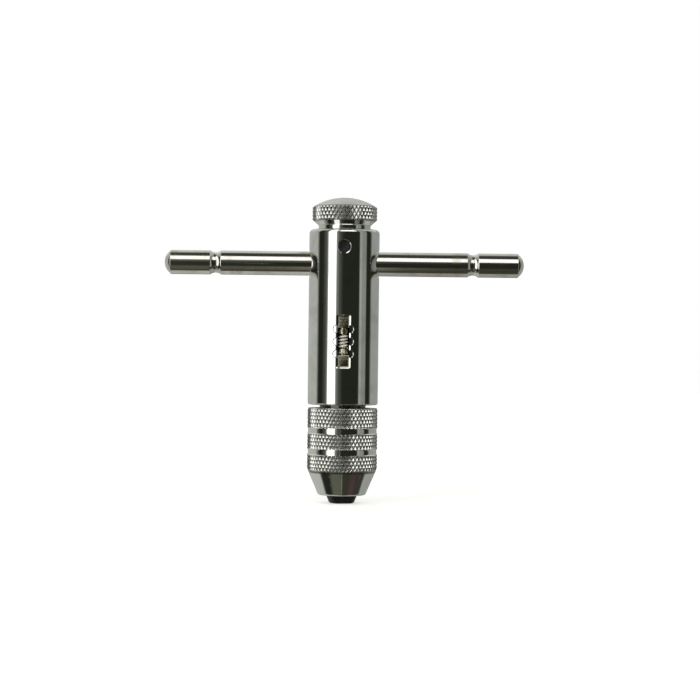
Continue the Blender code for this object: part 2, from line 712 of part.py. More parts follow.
def make_jaws(jaw_material, spring_material):
    """The two jaws in the spindle's slot and the spring that opens them."""
    slope = math.tan(math.radians(JAW_CONE_ANGLE))
    tip_radius = JAW_NOSE_RADIUS - NOSE * slope
    limit_height = NOSE + (JAW_LIMIT_RADIUS - JAW_NOSE_RADIUS) / slope
    outline = [
        (0.0, JAW_TOP),
        (JAW_LIMIT_RADIUS, JAW_TOP),
        (JAW_LIMIT_RADIUS, limit_height),
        (tip_radius + JAW_TIP_EDGE * slope, JAW_TIP_EDGE),
        (tip_radius - JAW_TIP_EDGE * JAW_TIP_BEND, JAW_TIP_EDGE * JAW_TIP_BEND),
        (tip_radius - JAW_TIP_EDGE, 0.0),
        (0.0, 0.0),
    ]
    notch_side = JAW_NOTCH + JAW_HALF_GAP
    notch = ((JAW_NOTCH, 0.0), (-JAW_HALF_GAP, notch_side), (-JAW_HALF_GAP, -notch_side))
    for name, turn in (("right", JAW_TURN), ("left", JAW_TURN + 180.0)):
        jaw = turned(f"jaw_{name}", outline, closed=False)
        half_low = (JAW_HALF_GAP, -JAW_HALF_WIDTH, -REACH)
        half_high = (REACH, JAW_HALF_WIDTH, REACH)
        combine(jaw, box("jaw_half", half_low, half_high), "INTERSECT")
        combine(jaw, prism("jaw_notch", notch, -REACH, JAW_NOTCH_TOP))
        pocket = rod("jaw_pocket", JAW_POCKET_RADIUS, -REACH, JAW_POCKET_END)
        combine(jaw, lay(pocket, (0.0, 90.0, 0.0), (0.0, 0.0, JAW_SPRING_HEIGHT)))
        finish(lay(jaw, (0.0, 0.0, turn)), jaw_material)
    spring = coil(
        "jaw_spring",
        JAW_COIL_RADIUS,
        JAW_WIRE,
        JAW_COIL_TURNS,
        -JAW_COIL_HALF,
        JAW_COIL_HALF,
    )
    lay(spring, (0.0, 90.0, JAW_TURN), (0.0, 0.0, JAW_SPRING_HEIGHT))
    spring.data.materials.append(spring_material)


def main():
    """Build every piece of the wrench."""
    clear_scene()
    chrome = metal("polished_chrome", (0.78, 0.79, 0.78), 0.08)
    nickel = metal("bright_nickel", (0.72, 0.70, 0.67), 0.12)
    turned_steel = metal("turned_steel", (0.56, 0.57, 0.56), 0.3)
    hard_steel = metal("hardened_steel", (0.42, 0.41, 0.39), 0.35)
    pawl_steel = metal("pawl_steel", (0.46, 0.43, 0.34), 0.3)
    spring_steel = metal("spring_steel", (0.7, 0.69, 0.64), 0.2)
    black_oxide = metal("black_oxide", (0.09, 0.09, 0.08), 0.45)
    make_barrel(chrome)
    make_t_bar(nickel)
    make_knob(chrome)
    make_stem(turned_steel)
    make_selector_pin(black_oxide)
    make_detent(hard_steel, spring_steel)
    make_swivel(turned_steel, spring_steel)
    make_spindle(turned_steel)
    make_ratchet(hard_steel, hard_steel)
    make_pawls(pawl_steel, spring_steel)
    make_sleeve(chrome, spring_steel)
    make_jaws(black_oxide, spring_steel)


main()
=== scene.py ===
"""The looks of a ratchet tap wrench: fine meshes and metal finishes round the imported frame.

The tool stands upright. +Z runs up the spindle to the selector knob, +X runs along the
T-bar and the pawl window faces -Y. Lengths are in metres, angles in degrees.
"""

import logging
import math
from collections.abc import Callable
from dataclasses import dataclass
from enum import Enum

import bmesh
import bpy
import numpy as np
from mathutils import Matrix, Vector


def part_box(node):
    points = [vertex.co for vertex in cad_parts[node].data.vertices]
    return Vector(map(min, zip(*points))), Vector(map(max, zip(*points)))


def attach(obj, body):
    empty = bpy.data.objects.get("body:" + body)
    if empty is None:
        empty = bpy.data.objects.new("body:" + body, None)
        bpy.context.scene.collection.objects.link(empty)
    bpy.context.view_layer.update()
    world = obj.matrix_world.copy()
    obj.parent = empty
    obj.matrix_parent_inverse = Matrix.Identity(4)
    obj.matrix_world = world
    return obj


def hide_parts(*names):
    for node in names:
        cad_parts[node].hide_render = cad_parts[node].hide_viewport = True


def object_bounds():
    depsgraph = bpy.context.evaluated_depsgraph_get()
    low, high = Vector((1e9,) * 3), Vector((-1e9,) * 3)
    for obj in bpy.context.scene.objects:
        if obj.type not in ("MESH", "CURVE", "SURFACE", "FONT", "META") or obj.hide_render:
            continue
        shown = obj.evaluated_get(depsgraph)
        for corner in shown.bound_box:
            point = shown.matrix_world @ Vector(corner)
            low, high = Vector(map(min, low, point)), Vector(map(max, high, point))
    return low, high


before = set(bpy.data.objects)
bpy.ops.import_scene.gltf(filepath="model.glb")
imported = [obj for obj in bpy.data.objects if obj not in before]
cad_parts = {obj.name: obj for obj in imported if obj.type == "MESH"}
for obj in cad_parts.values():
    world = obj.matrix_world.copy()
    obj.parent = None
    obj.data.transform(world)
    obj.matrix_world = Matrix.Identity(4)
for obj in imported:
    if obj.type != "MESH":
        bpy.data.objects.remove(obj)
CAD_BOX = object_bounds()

LOG = logging.getLogger("tap_wrench")
MM = 0.001
CREASE_ANGLE = 28.0
SHORTEST_RUN = 1e-12
DOME_START = 89.0
BORE_REACH = 5.2 * MM
KNURL_DEPTH = 0.40 * MM
KNOB_CREST = 9.025 * MM
KNOB_PYRAMIDS = 48
SLEEVE_CREST = 9.775 * MM
SLEEVE_PYRAMIDS = 54
UPPER_GROOVE = (19.35 * MM, 21.05 * MM)
LOWER_GROOVE = (13.5 * MM, 15.2 * MM)
ORIGIN = (0.0, 0.0, 0.0)
# The Mix node's sockets for blending colours, by number: other data types share their names.
MIX_SHARE, MIX_FIRST, MIX_SECOND, MIX_RESULT = 0, 6, 7, 2
Array = np.ndarray


class Axis(Enum):
    """The direction that a finish was brushed or turned along."""

    X = (1.0, 0.0, 0.0)
    Z = (0.0, 0.0, 1.0)


# ---------------------------------------------------------------------------
# Profiles and surfaces
# ---------------------------------------------------------------------------


def arc(centre: tuple, radius: float, start: float, end: float, steps: int) -> Array:
    """Points on an arc in the (radius, height) plane.

    The point at an angle is the centre plus the radius times its cosine and sine.

    Args:
        centre: The arc's centre.
        radius: The arc's radius.
        start: The first angle.
        end: The last angle.
        steps: The number of equal steps between them.

    Returns:
        An array of points, one row each.
    """
    angles = np.radians(np.linspace(start, end, steps + 1))
    return np.stack((centre[0] + radius * np.cos(angles), centre[1] + radius * np.sin(angles)), axis=1)


def outline(*parts: Array) -> Array:
    """Join points and arcs, in order, into one (radius, height) outline."""
    return np.vstack([np.atleast_2d(part) for part in parts])


def hold_edges(
    profile: Array, closed: bool, margin: float = 0.03 * MM, shortest: float = 0.25 * MM
) -> Array:
    """Add a point near both ends of each long straight run, so that its shading stays even.

    Each added point lies on the run, the margin away from one of its ends.

    Args:
        profile: The outline's points.
        closed: Whether the last point joins the first.
        margin: How far in from the run's ends the points lie.
        shortest: Runs no longer than this are left as they are.

    Returns:
        The longer outline.
    """
    ends = np.roll(profile, -1, axis=0)
    lengths = np.linalg.norm(ends - profile, axis=1, keepdims=True)
    lengths = np.maximum(lengths, SHORTEST_RUN)
    direction = (ends - profile) / lengths
    triples = np.stack((profile, profile + margin * direction, ends - margin * direction), axis=1)
    keep = np.repeat(lengths > shortest, 3, axis=1)
    keep[:, 0] = True
    if not closed:
        keep[-1, 1:] = False
    return triples[keep]


def revolve(profile: Array, segments: int) -> Array:
    """Turn an outline about Z.

    The point (r, h) becomes (r cos a, r sin a, h) at each of the equally spaced angles a.

    Args:
        profile: The (radius, height) outline.
        segments: The number of angles in a full turn.

    Returns:
        A grid of points: a row for each outline point, a column for each angle.
    """
    angles = np.arange(segments) * (math.tau / segments)
    radius = profile[:, 0, None]
    height = np.broadcast_to(profile[:, 1, None], (len(profile), segments))
    return np.stack((radius * np.cos(angles), radius * np.sin(angles), height), axis=2)


def lay_along_x(points: Array, height: float) -> Array:
    """Turn points made about Z so that they lie about X, and lift them to a height."""
    return np.stack((points[..., 2], points[..., 0], points[..., 1] + height), axis=-1)


def lay_along_minus_y(points: Array, height: float) -> Array:
    """Turn points made about Z so that +Z becomes -Y, and lift them to a height."""
    return np.stack((points[..., 0], -points[..., 2], points[..., 1] + height), axis=-1)


def turn_about_z(points: Array, angle: float) -> Array:
    """Turn points about Z: x becomes x cos a - y sin a, and y becomes x sin a + y cos a."""
    cosine, sine = math.cos(math.radians(angle)), math.sin(math.radians(angle))
    x, y = points[..., 0], points[..., 1]
    return np.stack((x * cosine - y * sine, x * sine + y * cosine, points[..., 2]), axis=-1)


def turn_about_y(points: Array, angle: float) -> Array:
    """Turn points about Y: z becomes z cos a - x sin a, and x becomes z sin a + x cos a."""
    cosine, sine = math.cos(math.radians(angle)), math.sin(math.radians(angle))
    x, z = points[..., 0], points[..., 2]
    return np.stack((z * sine + x * cosine, points[..., 1], z * cosine - x * sine), axis=-1)


@dataclass
class Skin:
    """A grid of points whose columns close on themselves.

    Attributes:
        grid: Rows by columns by three coordinates.
        closed_rows: Whether the last row joins the first.
        start_pole: The point that closes the first row, if one does.
        end_pole: The point that closes the last row, if one does.
        rising: For each quad, whether it is split from its first to its third corner.
    """

    grid: Array
    closed_rows: bool = False
    start_pole: Array | None = None
    end_pole: Array | None = None
    rising: Array | None = None

    def arrays(self) -> tuple[Array, list[Array]]:
        """Work out the skin's points and faces.

        Returns:
            The points, and a list of index arrays with one face in each row.
        """
        rows, columns = self.grid.shape[:2]
        row = np.arange(rows if self.closed_rows else rows - 1)[:, None]
        column = np.arange(columns)[None, :]
        after = (column + 1) % columns
        below = (row + 1) % rows
        here, under = row * columns, below * columns
        quad = (here + column, under + column, under + after, here + after)
        quads = np.stack(np.broadcast_arrays(*quad), axis=-1)
        if self.rising is None:
            faces = [quads.reshape(-1, 4)]
        else:
            up, down = quads[self.rising], quads[~self.rising]
            faces = [up[:, (0, 1, 2)], up[:, (0, 2, 3)], down[:, (1, 2, 3)], down[:, (1, 3, 0)]]
        points = self.grid.reshape(-1, 3)
        ring = np.arange(columns)
        following = np.roll(ring, -1)
        if self.start_pole is not None:
            pole = np.full(columns, len(points))
            points = np.vstack((points, self.start_pole))
            faces.append(np.stack((pole, ring, following), axis=1))
        if self.end_pole is not None:
            pole = np.full(columns, len(points))
            points = np.vstack((points, self.end_pole))
            last = (rows - 1) * columns
            faces.append(np.stack((last + ring, pole, last + following), axis=1))
        return points, faces


def make_object(name: str, *skins: Skin) -> bpy.types.Object:
    """Put skins into one new mesh object.

    Args:
        name: The object's name.
        *skins: The surfaces, each closed in itself.

    Returns:
        The object, linked to the scene, at the origin.
    """
    points, faces, count = [], [], 0
    for skin in skins:
        skin_points, skin_faces = skin.arrays()
        points.append(skin_points)
        faces += [part + count for part in skin_faces]
        count += len(skin_points)
    corners = np.concatenate([part.ravel() for part in faces])
    sizes = np.concatenate([np.full(len(part), part.shape[1]) for part in faces])
    starts = np.concatenate(([0], np.cumsum(sizes)[:-1]))
    mesh = bpy.data.meshes.new(name)
    mesh.vertices.add(count)
    mesh.vertices.foreach_set("co", np.concatenate(points).astype(np.float32).ravel())
    mesh.loops.add(len(corners))
    mesh.loops.foreach_set("vertex_index", corners.astype(np.int32))
    mesh.polygons.add(len(sizes))
    mesh.polygons.foreach_set("loop_start", starts.astype(np.int32))
    mesh.update(calc_edges=True)
    mesh.validate()
    piece = bpy.data.objects.new(name, mesh)
    bpy.context.scene.collection.objects.link(piece)
    return piece


def turned_skin(
    profile: Array, segments: int, top: float | None = None, foot: float | None = None
) -> Skin:
    """Revolve an outline into a skin.

    Args:
        profile: The outline, down its outer side. Without poles it is a closed ring.
        segments: The number of angles in a full turn.
        top: The height of the pole that closes the first row.
        foot: The height of the pole that closes the last row.

    Returns:
        The skin about Z.
    """
    closed = top is None and foot is None
    start = None if top is None else np.array((0.0, 0.0, top))
    end = None if foot is None else np.array((0.0, 0.0, foot))
    return Skin(revolve(hold_edges(profile, closed), segments), closed, start, end)


def placed(skin: Skin, move: Callable[..., Array], *values: float) -> Skin:
    """Move every point of a skin, its poles among them, with one function."""
    skin.grid = move(skin.grid, *values)
    if skin.start_pole is not None:
        skin.start_pole = move(skin.start_pole, *values)
    if skin.end_pole is not None:
        skin.end_pole = move(skin.end_pole, *values)
    return skin


def apply_modifiers(piece: bpy.types.Object) -> None:
    """Replace a piece's mesh with the result of its modifiers."""
    bpy.context.view_layer.update()
    evaluated = piece.evaluated_get(bpy.context.evaluated_depsgraph_get())
    mesh = bpy.data.meshes.new_from_object(evaluated)
    piece.modifiers.clear()
    piece.data = mesh


def face_outwards(piece: bpy.types.Object) -> None:
    """Recalculate the normals of a closed mesh so that they point out."""
    builder = bmesh.new()
    builder.from_mesh(piece.data)
    bmesh.ops.recalc_face_normals(builder, faces=builder.faces)
    builder.to_mesh(piece.data)
    builder.free()


def combine(piece: bpy.types.Object, tools: list, operation: str) -> None:
    """Cut a piece with tool solids, or join them to it, and remove the tools.

    Args:
        piece: The piece to change.
        tools: Closed meshes.
        operation: DIFFERENCE or UNION.
    """
    for tool in tools:
        face_outwards(tool)
        step = piece.modifiers.new(tool.name, "BOOLEAN")
        step.operation = operation
        step.object = tool
    apply_modifiers(piece)
    for tool in tools:
        bpy.data.objects.remove(tool)


def round_edges(piece: bpy.types.Object, width: float, segments: int = 2) -> None:
    """Round a piece's crisp edges with a Bevel."""
    bevel = piece.modifiers.new("rounded_edges", "BEVEL")
    bevel.width = width
    bevel.segments = segments
    bevel.limit_method = "ANGLE"
    bevel.angle_limit = math.radians(CREASE_ANGLE)


def settle(
    piece: bpy.types.Object,
    material: bpy.types.Material,
    body: str,
    replaces: str,
    crease: float = CREASE_ANGLE,
) -> bpy.types.Object:
    """Shade a finished piece, give it its material and tie it to its body.

    Args:
        piece: The finished piece, in place.
        material: Its only material.
        body: The body that it rides on.
        replaces: The node that it stands for.
        crease: Edges sharper than this stay crisp.

    Returns:
        The piece.
    """
    piece.data.materials.clear()
    piece.data.materials.append(material)
    piece.data.shade_smooth()
    piece.data.set_sharp_from_angle(angle=math.radians(crease))
    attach(piece, body)
    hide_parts(replaces)
    LOG.info("%s rides on %s, %d faces", piece.name, body, len(piece.data.polygons))
    return piece


def corners(node: str) -> tuple[Array, Array]:
    """The lowest and highest corner of a frame node, as arrays."""
    low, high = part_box(node)
    return np.array(low), np.array(high)


@dataclass(frozen=True)
class Opening:
    """A cut that enters a round shell square to its axis.

    The cut's outline is a rectangle with rounded corners, grown by an offset at each
    level. A level is a cylinder about Z, and the outline's points are laid on it along
    the cut's own direction, so a rim or a floor follows the shell's curve.

    Attributes:
        half_width: Half the outline's width round the shell.
        half_height: Half its height.
        corner: Its corner radius; a round hole has all three the same.
        side: Its middle, sideways from the cut's axis.
        height: Its middle, up the shell.
        facing: The angle about Z that the cut comes from; 0 is from -Y.
        corner_steps: Steps round each corner.
        edge_points: Points between two corners.
    """

    half_width: float
    half_height: float
    corner: float
    side: float
    height: float
    facing: float = 0.0
    corner_steps: int = 14
    edge_points: int = 11

    def loop(self, offset: float) -> Array:
        """Work out the outline at an offset.

        Each corner is a quarter circle about its own centre, and the straight sides
        between them are divided evenly.

        Args:
            offset: How far the outline is grown on every side.

        Returns:
            The (sideways, up) points, in order round the outline.
        """
        quarter = np.arange(4)[:, None]
        angles = math.tau / 4 * (quarter + np.linspace(0.0, 1.0, self.corner_steps + 1))
        across = (self.half_width - self.corner) * np.array((1, -1, -1, 1))[:, None]
        up = (self.half_height - self.corner) * np.array((1, 1, -1, -1))[:, None]
        radius = max(self.corner + offset, 0.0)
        arcs = np.stack((across + radius * np.cos(angles), up + radius * np.sin(angles)), axis=2)
        if self.half_height > self.corner or self.half_width > self.corner:
            share = np.linspace(0.0, 1.0, self.edge_points + 2)[1:-1, None]
            starts, ends = arcs[:, -1, None], np.roll(arcs, -1, axis=0)[:, 0, None]
            arcs = np.concatenate((arcs, starts + (ends - starts) * share), axis=1)
            return arcs.reshape(-1, 2)
        return arcs[:, :-1].reshape(-1, 2)

    def solid(self, name: str, levels: list) -> bpy.types.Object:
        """Make the closed cutter.

        Args:
            name: The cutter's name.
            levels: (offset, shell radius) pairs, from the floor outwards.

        Returns:
            The cutter.
        """
        rows = []
        for offset, shell in levels:
            points = self.loop(offset)
            across = self.side + points[:, 0]
            depth = -np.sqrt(shell**2 - across**2)
            rows.append(np.stack((across, depth, self.height + points[:, 1]), axis=1))
        grid = turn_about_z(np.stack(rows), self.facing)
        ends = []
        for _, shell in (levels[0], levels[-1]):
            depth = -math.sqrt(shell**2 - self.side**2)
            ends.append(turn_about_z(np.array((self.side, depth, self.height)), self.facing))
        return make_object(name, Skin(grid, False, ends[0], ends[1]))


@dataclass(frozen=True)
class DiamondKnurl:
    """A diamond knurl: two families of V grooves that cross and leave small pyramids.

    Attributes:
        count: Pyramids round a full turn.
        rise: The pyramids' pitch up the axis.
        depth: From the pyramids' tips to the valleys.
        land: The share of that depth that is worn off the tips.
        fade: How far the grooves take to run out at the end of a band.
        columns: Mesh columns across a pyramid.
        rows: Mesh rows up a pyramid.
    """

    count: int
    rise: float = 2.05 * MM
    depth: float = KNURL_DEPTH
    land: float = 0.17
    fade: float = 0.16 * MM
    columns: int = 10
    rows: int = 16

    def sunk(self, angle: Array, height: Array, bands: list) -> Array:
        """Work out how deep the surface lies under the tips.

        With u the angle in pyramids and v the height in pyramids, each family's depth is
        a triangular wave of u + v or u - v, 1 in a valley and 0 on a ridge. The deeper
        family rules, and the wave's lowest part is cut off flat. A band's mask ramps
        from 0 to 1 over the fade at its ends.

        Args:
            angle: The angles about Z, in radians.
            height: The heights.
            bands: (foot, top) pairs of the knurled bands.

        Returns:
            The depths under the tips.
        """
        around = angle * self.count / math.tau
        up = height / self.rise
        first = np.abs(2.0 * ((around + up) % 1.0) - 1.0)
        second = np.abs(2.0 * ((around - up) % 1.0) - 1.0)
        wave = (np.maximum(first, second) - self.land) / (1.0 - self.land)
        mask = np.zeros_like(height)
        for foot, top in bands:
            inside = np.minimum(height - foot, top - height) / self.fade
            mask = np.maximum(mask, np.clip(inside, 0.0, 1.0))
        return self.depth * np.clip(wave, 0.0, 1.0) * mask

    def heights(self, foot: float, top: float) -> Array:
        """Row heights from top to foot that fall on the pyramids' own grid."""
        step = self.rise / self.rows
        return np.arange(math.floor(top / step), math.ceil(foot / step) - 1, -1) * step

    def carve(self, skin: Skin, crest: float, bands: list) -> Skin:
        """Press the knurl into a turned skin.

        A point keeps its height and goes in to the knurl's radius where that is the
        smaller one. Each quad is split along the diagonal that lies nearer the true
        surface at its middle, so ridges and valleys stay straight.

        Args:
            skin: The turned skin about Z.
            crest: The radius at the pyramids' tips.
            bands: (foot, top) pairs of the knurled bands.

        Returns:
            The same skin, carved.
        """
        x, y, height = skin.grid[..., 0], skin.grid[..., 1], skin.grid[..., 2]
        plain = np.hypot(x, y)
        angle = np.arctan2(y, x)
        radius = np.minimum(plain, crest - self.sunk(angle, height, bands))
        scale = radius / plain
        skin.grid = np.stack((x * scale, y * scale, height), axis=2)

        def corner_values(values: Array) -> tuple[Array, Array, Array, Array]:
            """The values at each quad's first, second, third and fourth corner."""
            rows = values if skin.closed_rows else values[:-1]
            below = np.roll(values, -1, axis=0)[: len(rows)]
            return rows, below, np.roll(below, -1, axis=1), np.roll(rows, -1, axis=1)

        one, two, three, four = corner_values(radius)
        segments = skin.grid.shape[1]
        middle_angle = corner_values(angle)[0] + math.pi / segments
        middle_height = sum(corner_values(height)) / 4.0
        middle_plain = sum(corner_values(plain)) / 4.0
        middle = np.minimum(middle_plain, crest - self.sunk(middle_angle, middle_height, bands))
        skin.rising = np.abs(middle - (one + three) / 2.0) <= np.abs(middle - (two + four) / 2.0)
        return skin


# ---------------------------------------------------------------------------
# Node helpers and shared effects
# ---------------------------------------------------------------------------


class Graph:
    """Adds nodes to one node tree and links them."""

    def __init__(self, tree: bpy.types.NodeTree) -> None:
        """Keep the tree that the nodes go into."""
        self.tree = tree

    def feed(self, socket: bpy.types.NodeSocket, value: object) -> None:
        """Link a socket to another one, or set its value."""
        if isinstance(value, bpy.types.NodeSocket):
            self.tree.links.new(value, socket)
        else:
            socket.default_value = value

    def node(self, kind: str, inputs: dict | None = None, **settings: object) -> bpy.types.Node:
        """Add a node.

        Args:
            kind: The node's type.
            inputs: Values or sockets by input name or number.
            **settings: The node's own properties.

        Returns:
            The node.
        """
        made = self.tree.nodes.new(kind)
        for key, value in settings.items():
            setattr(made, key, value)
        for key, value in (inputs or {}).items():
            self.feed(made.inputs[key], value)
        return made

    def math(self, operation: str, first: object, second: object = 0.0) -> bpy.types.NodeSocket:
        """Add a Math node and return its result."""
        return self.node("ShaderNodeMath", {0: first, 1: second}, operation=operation).outputs[0]

    def ramp(
        self, value: object, low: object, high: object, start: object = 0.0, end: float = 1.0
    ) -> bpy.types.NodeSocket:
        """Ease the result from start to end as the value goes from low to high."""
        inputs = {"Value": value, "From Min": low, "From Max": high, "To Min": start, "To Max": end}
        return self.node("ShaderNodeMapRange", inputs, interpolation_type="SMOOTHSTEP").outputs[0]

    def blend(self, share: object, first: object, second: object) -> bpy.types.NodeSocket:
        """Blend two colours by a share."""
        inputs = {MIX_SHARE: share, MIX_FIRST: first, MIX_SECOND: second}
        return self.node("ShaderNodeMix", inputs, data_type="RGBA").outputs[MIX_RESULT]

    def group(self, tree: bpy.types.NodeTree, inputs: dict, label: str = "") -> bpy.types.NodeSocket:
        """Place a node group with its own values and return its first output."""
        placed_group = self.node("ShaderNodeGroup", node_tree=tree, label=label)
        for key, value in inputs.items():
            self.feed(placed_group.inputs[key], value)
        return placed_group.outputs[0]


def new_group(name: str, inputs: dict, output: str) -> tuple[bpy.types.NodeTree, Graph, object, object]:
    """Start a shader node group.

    Args:
        name: The group's name.
        inputs: For each input's name, its default: a number, or three for a vector.
        output: The name of its only output, a number.

    Returns:
        The group, a graph on it, and its input sockets and output socket.
    """
    tree = bpy.data.node_groups.new(name, "ShaderNodeTree")
    for key, value in inputs.items():
        kind = "NodeSocketFloat" if isinstance(value, float) else "NodeSocketVector"
        tree.interface.new_socket(key, in_out="INPUT", socket_type=kind).default_value = value
    tree.interface.new_socket(output, in_out="OUTPUT", socket_type="NodeSocketFloat")
    graph = Graph(tree)
    given = graph.node("NodeGroupInput").outputs
    result = graph.node("NodeGroupOutput").inputs[output]
    return tree, graph, given, result


class Effects:
    """The node groups that the finishes share."""

    def __init__(self) -> None:
        """Build every group once."""
        self.streaks = self.make_streaks()
        self.marks = self.make_marks()
        self.rings = self.make_rings()
        self.valley_darkening = self.make_valley_darkening()
        self.wear = self.make_wear()

    @staticmethod
    def make_streaks() -> bpy.types.NodeTree:
        """Long fine scratches: stretched noise, kept where it is highest."""
        sparse, density_effect, softness = 0.72, 0.4, 0.12
        defaults = {"Vector": ORIGIN, "Stretch": (1.0, 1.0, 1.0), "Scale": 900.0, "Density": 0.35}
        tree, graph, given, result = new_group("fine_streaks", defaults, "Mask")
        inputs = {0: given["Vector"], 1: given["Stretch"]}
        stretched = graph.node("ShaderNodeVectorMath", inputs, operation="MULTIPLY").outputs[0]
        inputs = {"Vector": stretched, "Scale": given["Scale"], "Detail": 3.0, "Roughness": 0.6}
        noise = graph.node("ShaderNodeTexNoise", inputs).outputs["Fac"]
        low = graph.math("SUBTRACT", sparse, graph.math("MULTIPLY", given["Density"], density_effect))
        graph.feed(result, graph.ramp(noise, low, graph.math("ADD", low, softness)))
        return tree

    @staticmethod
    def make_marks() -> bpy.types.NodeTree:
        """Cloudy handling marks: soft distorted noise, kept where it is highest."""
        clean_below, marked_above = 0.42, 0.72
        defaults = {"Vector": ORIGIN, "Scale": 120.0}
        tree, graph, given, result = new_group("handling_marks", defaults, "Mask")
        inputs = {
            "Vector": given["Vector"],
            "Scale": given["Scale"],
            "Detail": 5.0,
            "Roughness": 0.62,
            "Distortion": 0.6,
        }
        noise = graph.node("ShaderNodeTexNoise", inputs).outputs["Fac"]
        graph.feed(result, graph.ramp(noise, clean_below, marked_above))
        return tree

    @staticmethod
    def make_rings() -> bpy.types.NodeTree:
        """Turning marks: one-dimensional noise along the direction that the cut moved."""
        defaults = {"Vector": ORIGIN, "Along": Axis.Z.value, "Pitch": 0.08 * MM}
        tree, graph, given, result = new_group("turning_rings", defaults, "Height")
        inputs = {0: given["Vector"], 1: given["Along"]}
        along = graph.node("ShaderNodeVectorMath", inputs, operation="DOT_PRODUCT").outputs["Value"]
        noise = graph.node("ShaderNodeTexNoise", noise_dimensions="1D")
        graph.feed(noise.inputs["W"], graph.math("DIVIDE", along, given["Pitch"]))
        graph.feed(noise.inputs["Scale"], 1.0)
        graph.feed(noise.inputs["Detail"], 2.0)
        graph.feed(result, noise.outputs["Fac"])
        return tree

    @staticmethod
    def make_valley_darkening() -> bpy.types.NodeTree:
        """Darker colour in the knurl's valleys: the deeper a point lies under the crest, the darker.

        A point's depth is taken as a share of the knurl's. Deeper than the valleys, on
        the neck and in the bores, the darkening fades out again.
        """
        unchanged_until, full_at, fading_from, gone_at = 0.55, 1.0, 1.2, 1.6
        defaults = {"Vector": ORIGIN, "Crest": SLEEVE_CREST, "Depth": KNURL_DEPTH}
        tree, graph, given, result = new_group("valley_darkening_mask", defaults, "Mask")
        inputs = {0: given["Vector"], 1: (1.0, 1.0, 0.0)}
        flat = graph.node("ShaderNodeVectorMath", inputs, operation="MULTIPLY").outputs[0]
        length = graph.node("ShaderNodeVectorMath", {0: flat}, operation="LENGTH")
        under = graph.math("SUBTRACT", given["Crest"], length.outputs["Value"])
        sunk = graph.math("DIVIDE", under, given["Depth"])
        rising = graph.ramp(sunk, unchanged_until, full_at)
        fading = graph.ramp(sunk, gone_at, fading_from)
        graph.feed(result, graph.math("MULTIPLY", rising, fading))
        return tree

    @staticmethod
    def make_wear() -> bpy.types.NodeTree:
        """Worn edges: convex places, broken up by noise."""
        flat_below, sharp_above = 0.52, 0.6
        kept_below, worn_above = 0.4, 0.6
        defaults = {"Pointiness": 0.5, "Vector": ORIGIN, "Amount": 0.5}
        tree, graph, given, result = new_group("edge_wear", defaults, "Mask")
        inputs = {"Vector": given["Vector"], "Scale": 1400.0, "Detail": 4.0}
        noise = graph.node("ShaderNodeTexNoise", inputs).outputs["Fac"]
        convex = graph.ramp(given["Pointiness"], flat_below, sharp_above)
        broken = graph.ramp(noise, kept_below, worn_above)
        both = graph.math("MULTIPLY", convex, broken)
        graph.feed(result, graph.math("MULTIPLY", both, given["Amount"]))
        return tree


# ---------------------------------------------------------------------------
# Finishes
# ---------------------------------------------------------------------------


@dataclass(frozen=True)
class Finish:
    """A metal finish.

    Attributes:
        name: The material's name.
        colour: The metal's own colour.
        marked: Its colour where it is handled or dirty, and in a knurl's darkened valleys.
        roughness: The roughness where it is clean.
        marked_roughness: How much rougher it is where it is marked.
        brushed: The direction of its fine scratches, and the axis that it was turned on.
        streak_depth: How deep they are.
        streak_scale: How fine they are.
        streak_share: How much of the metal they cover.
        streak_stretch: The noise's scale along them, as a share of its scale across.
        ring_depth: How deep its turning marks are.
        ring_pitch: How far apart they are.
        mark_scale: How fine the handling marks are.
        metallic: 1 for bare metal, less for a surface that also scatters light.
    """

    name: str
    colour: tuple
    marked: tuple
    roughness: float
    marked_roughness: float = 0.08
    brushed: Axis = Axis.Z
    streak_depth: float = 0.0006 * MM
    streak_scale: float = 1500.0
    streak_share: float = 0.35
    streak_stretch: float = 0.02
    ring_depth: float = 0.0
    ring_pitch: float = 0.08 * MM
    mark_scale: float = 110.0
    metallic: float = 1.0

    def build(self, effects: Effects) -> bpy.types.Material:
        """Make the material.

        Args:
            effects: The shared node groups.

        Returns:
            The material.
        """
        material = bpy.data.materials.new(self.name)
        material.use_nodes = True
        graph = Graph(material.node_tree)
        shader = material.node_tree.nodes["Principled BSDF"]
        shader.inputs["Metallic"].default_value = self.metallic
        place = graph.node("ShaderNodeTexCoord").outputs["Object"]
        marks = graph.group(effects.marks, {"Vector": place, "Scale": self.mark_scale})
        stretch = tuple(self.streak_stretch if part else 1.0 for part in self.brushed.value)
        inputs = {
            "Vector": place,
            "Stretch": stretch,
            "Scale": self.streak_scale,
            "Density": self.streak_share,
        }
        streaks = graph.group(effects.streaks, inputs)
        marked_mask = self.marked_mask(graph, effects, place, marks)
        colour = graph.blend(marked_mask, (*self.colour, 1.0), (*self.marked, 1.0))
        graph.feed(shader.inputs["Base Color"], colour)
        rougher = graph.math("MULTIPLY", graph.math("ADD", marked_mask, streaks), self.marked_roughness)
        roughness = graph.math("ADD", self.base_roughness(graph, place), rougher)
        graph.feed(shader.inputs["Roughness"], roughness)
        height = graph.math("MULTIPLY", streaks, -self.streak_depth / MM)
        if self.ring_depth:
            inputs = {"Vector": place, "Along": self.brushed.value, "Pitch": self.ring_pitch}
            rings = graph.group(effects.rings, inputs)
            height = graph.math("ADD", height, graph.math("MULTIPLY", rings, self.ring_depth / MM))
        bump = graph.node("ShaderNodeBump", {"Height": height, "Distance": MM, "Strength": 1.0})
        graph.feed(shader.inputs["Normal"], bump.outputs["Normal"])
        return material

    def marked_mask(self, graph: Graph, effects: Effects, place: object, marks: object) -> bpy.types.NodeSocket:
        """Where the finish is marked: the handling marks alone."""
        return marks

    def base_roughness(self, graph: Graph, place: object) -> object:
        """The roughness of the clean metal."""
        return self.roughness


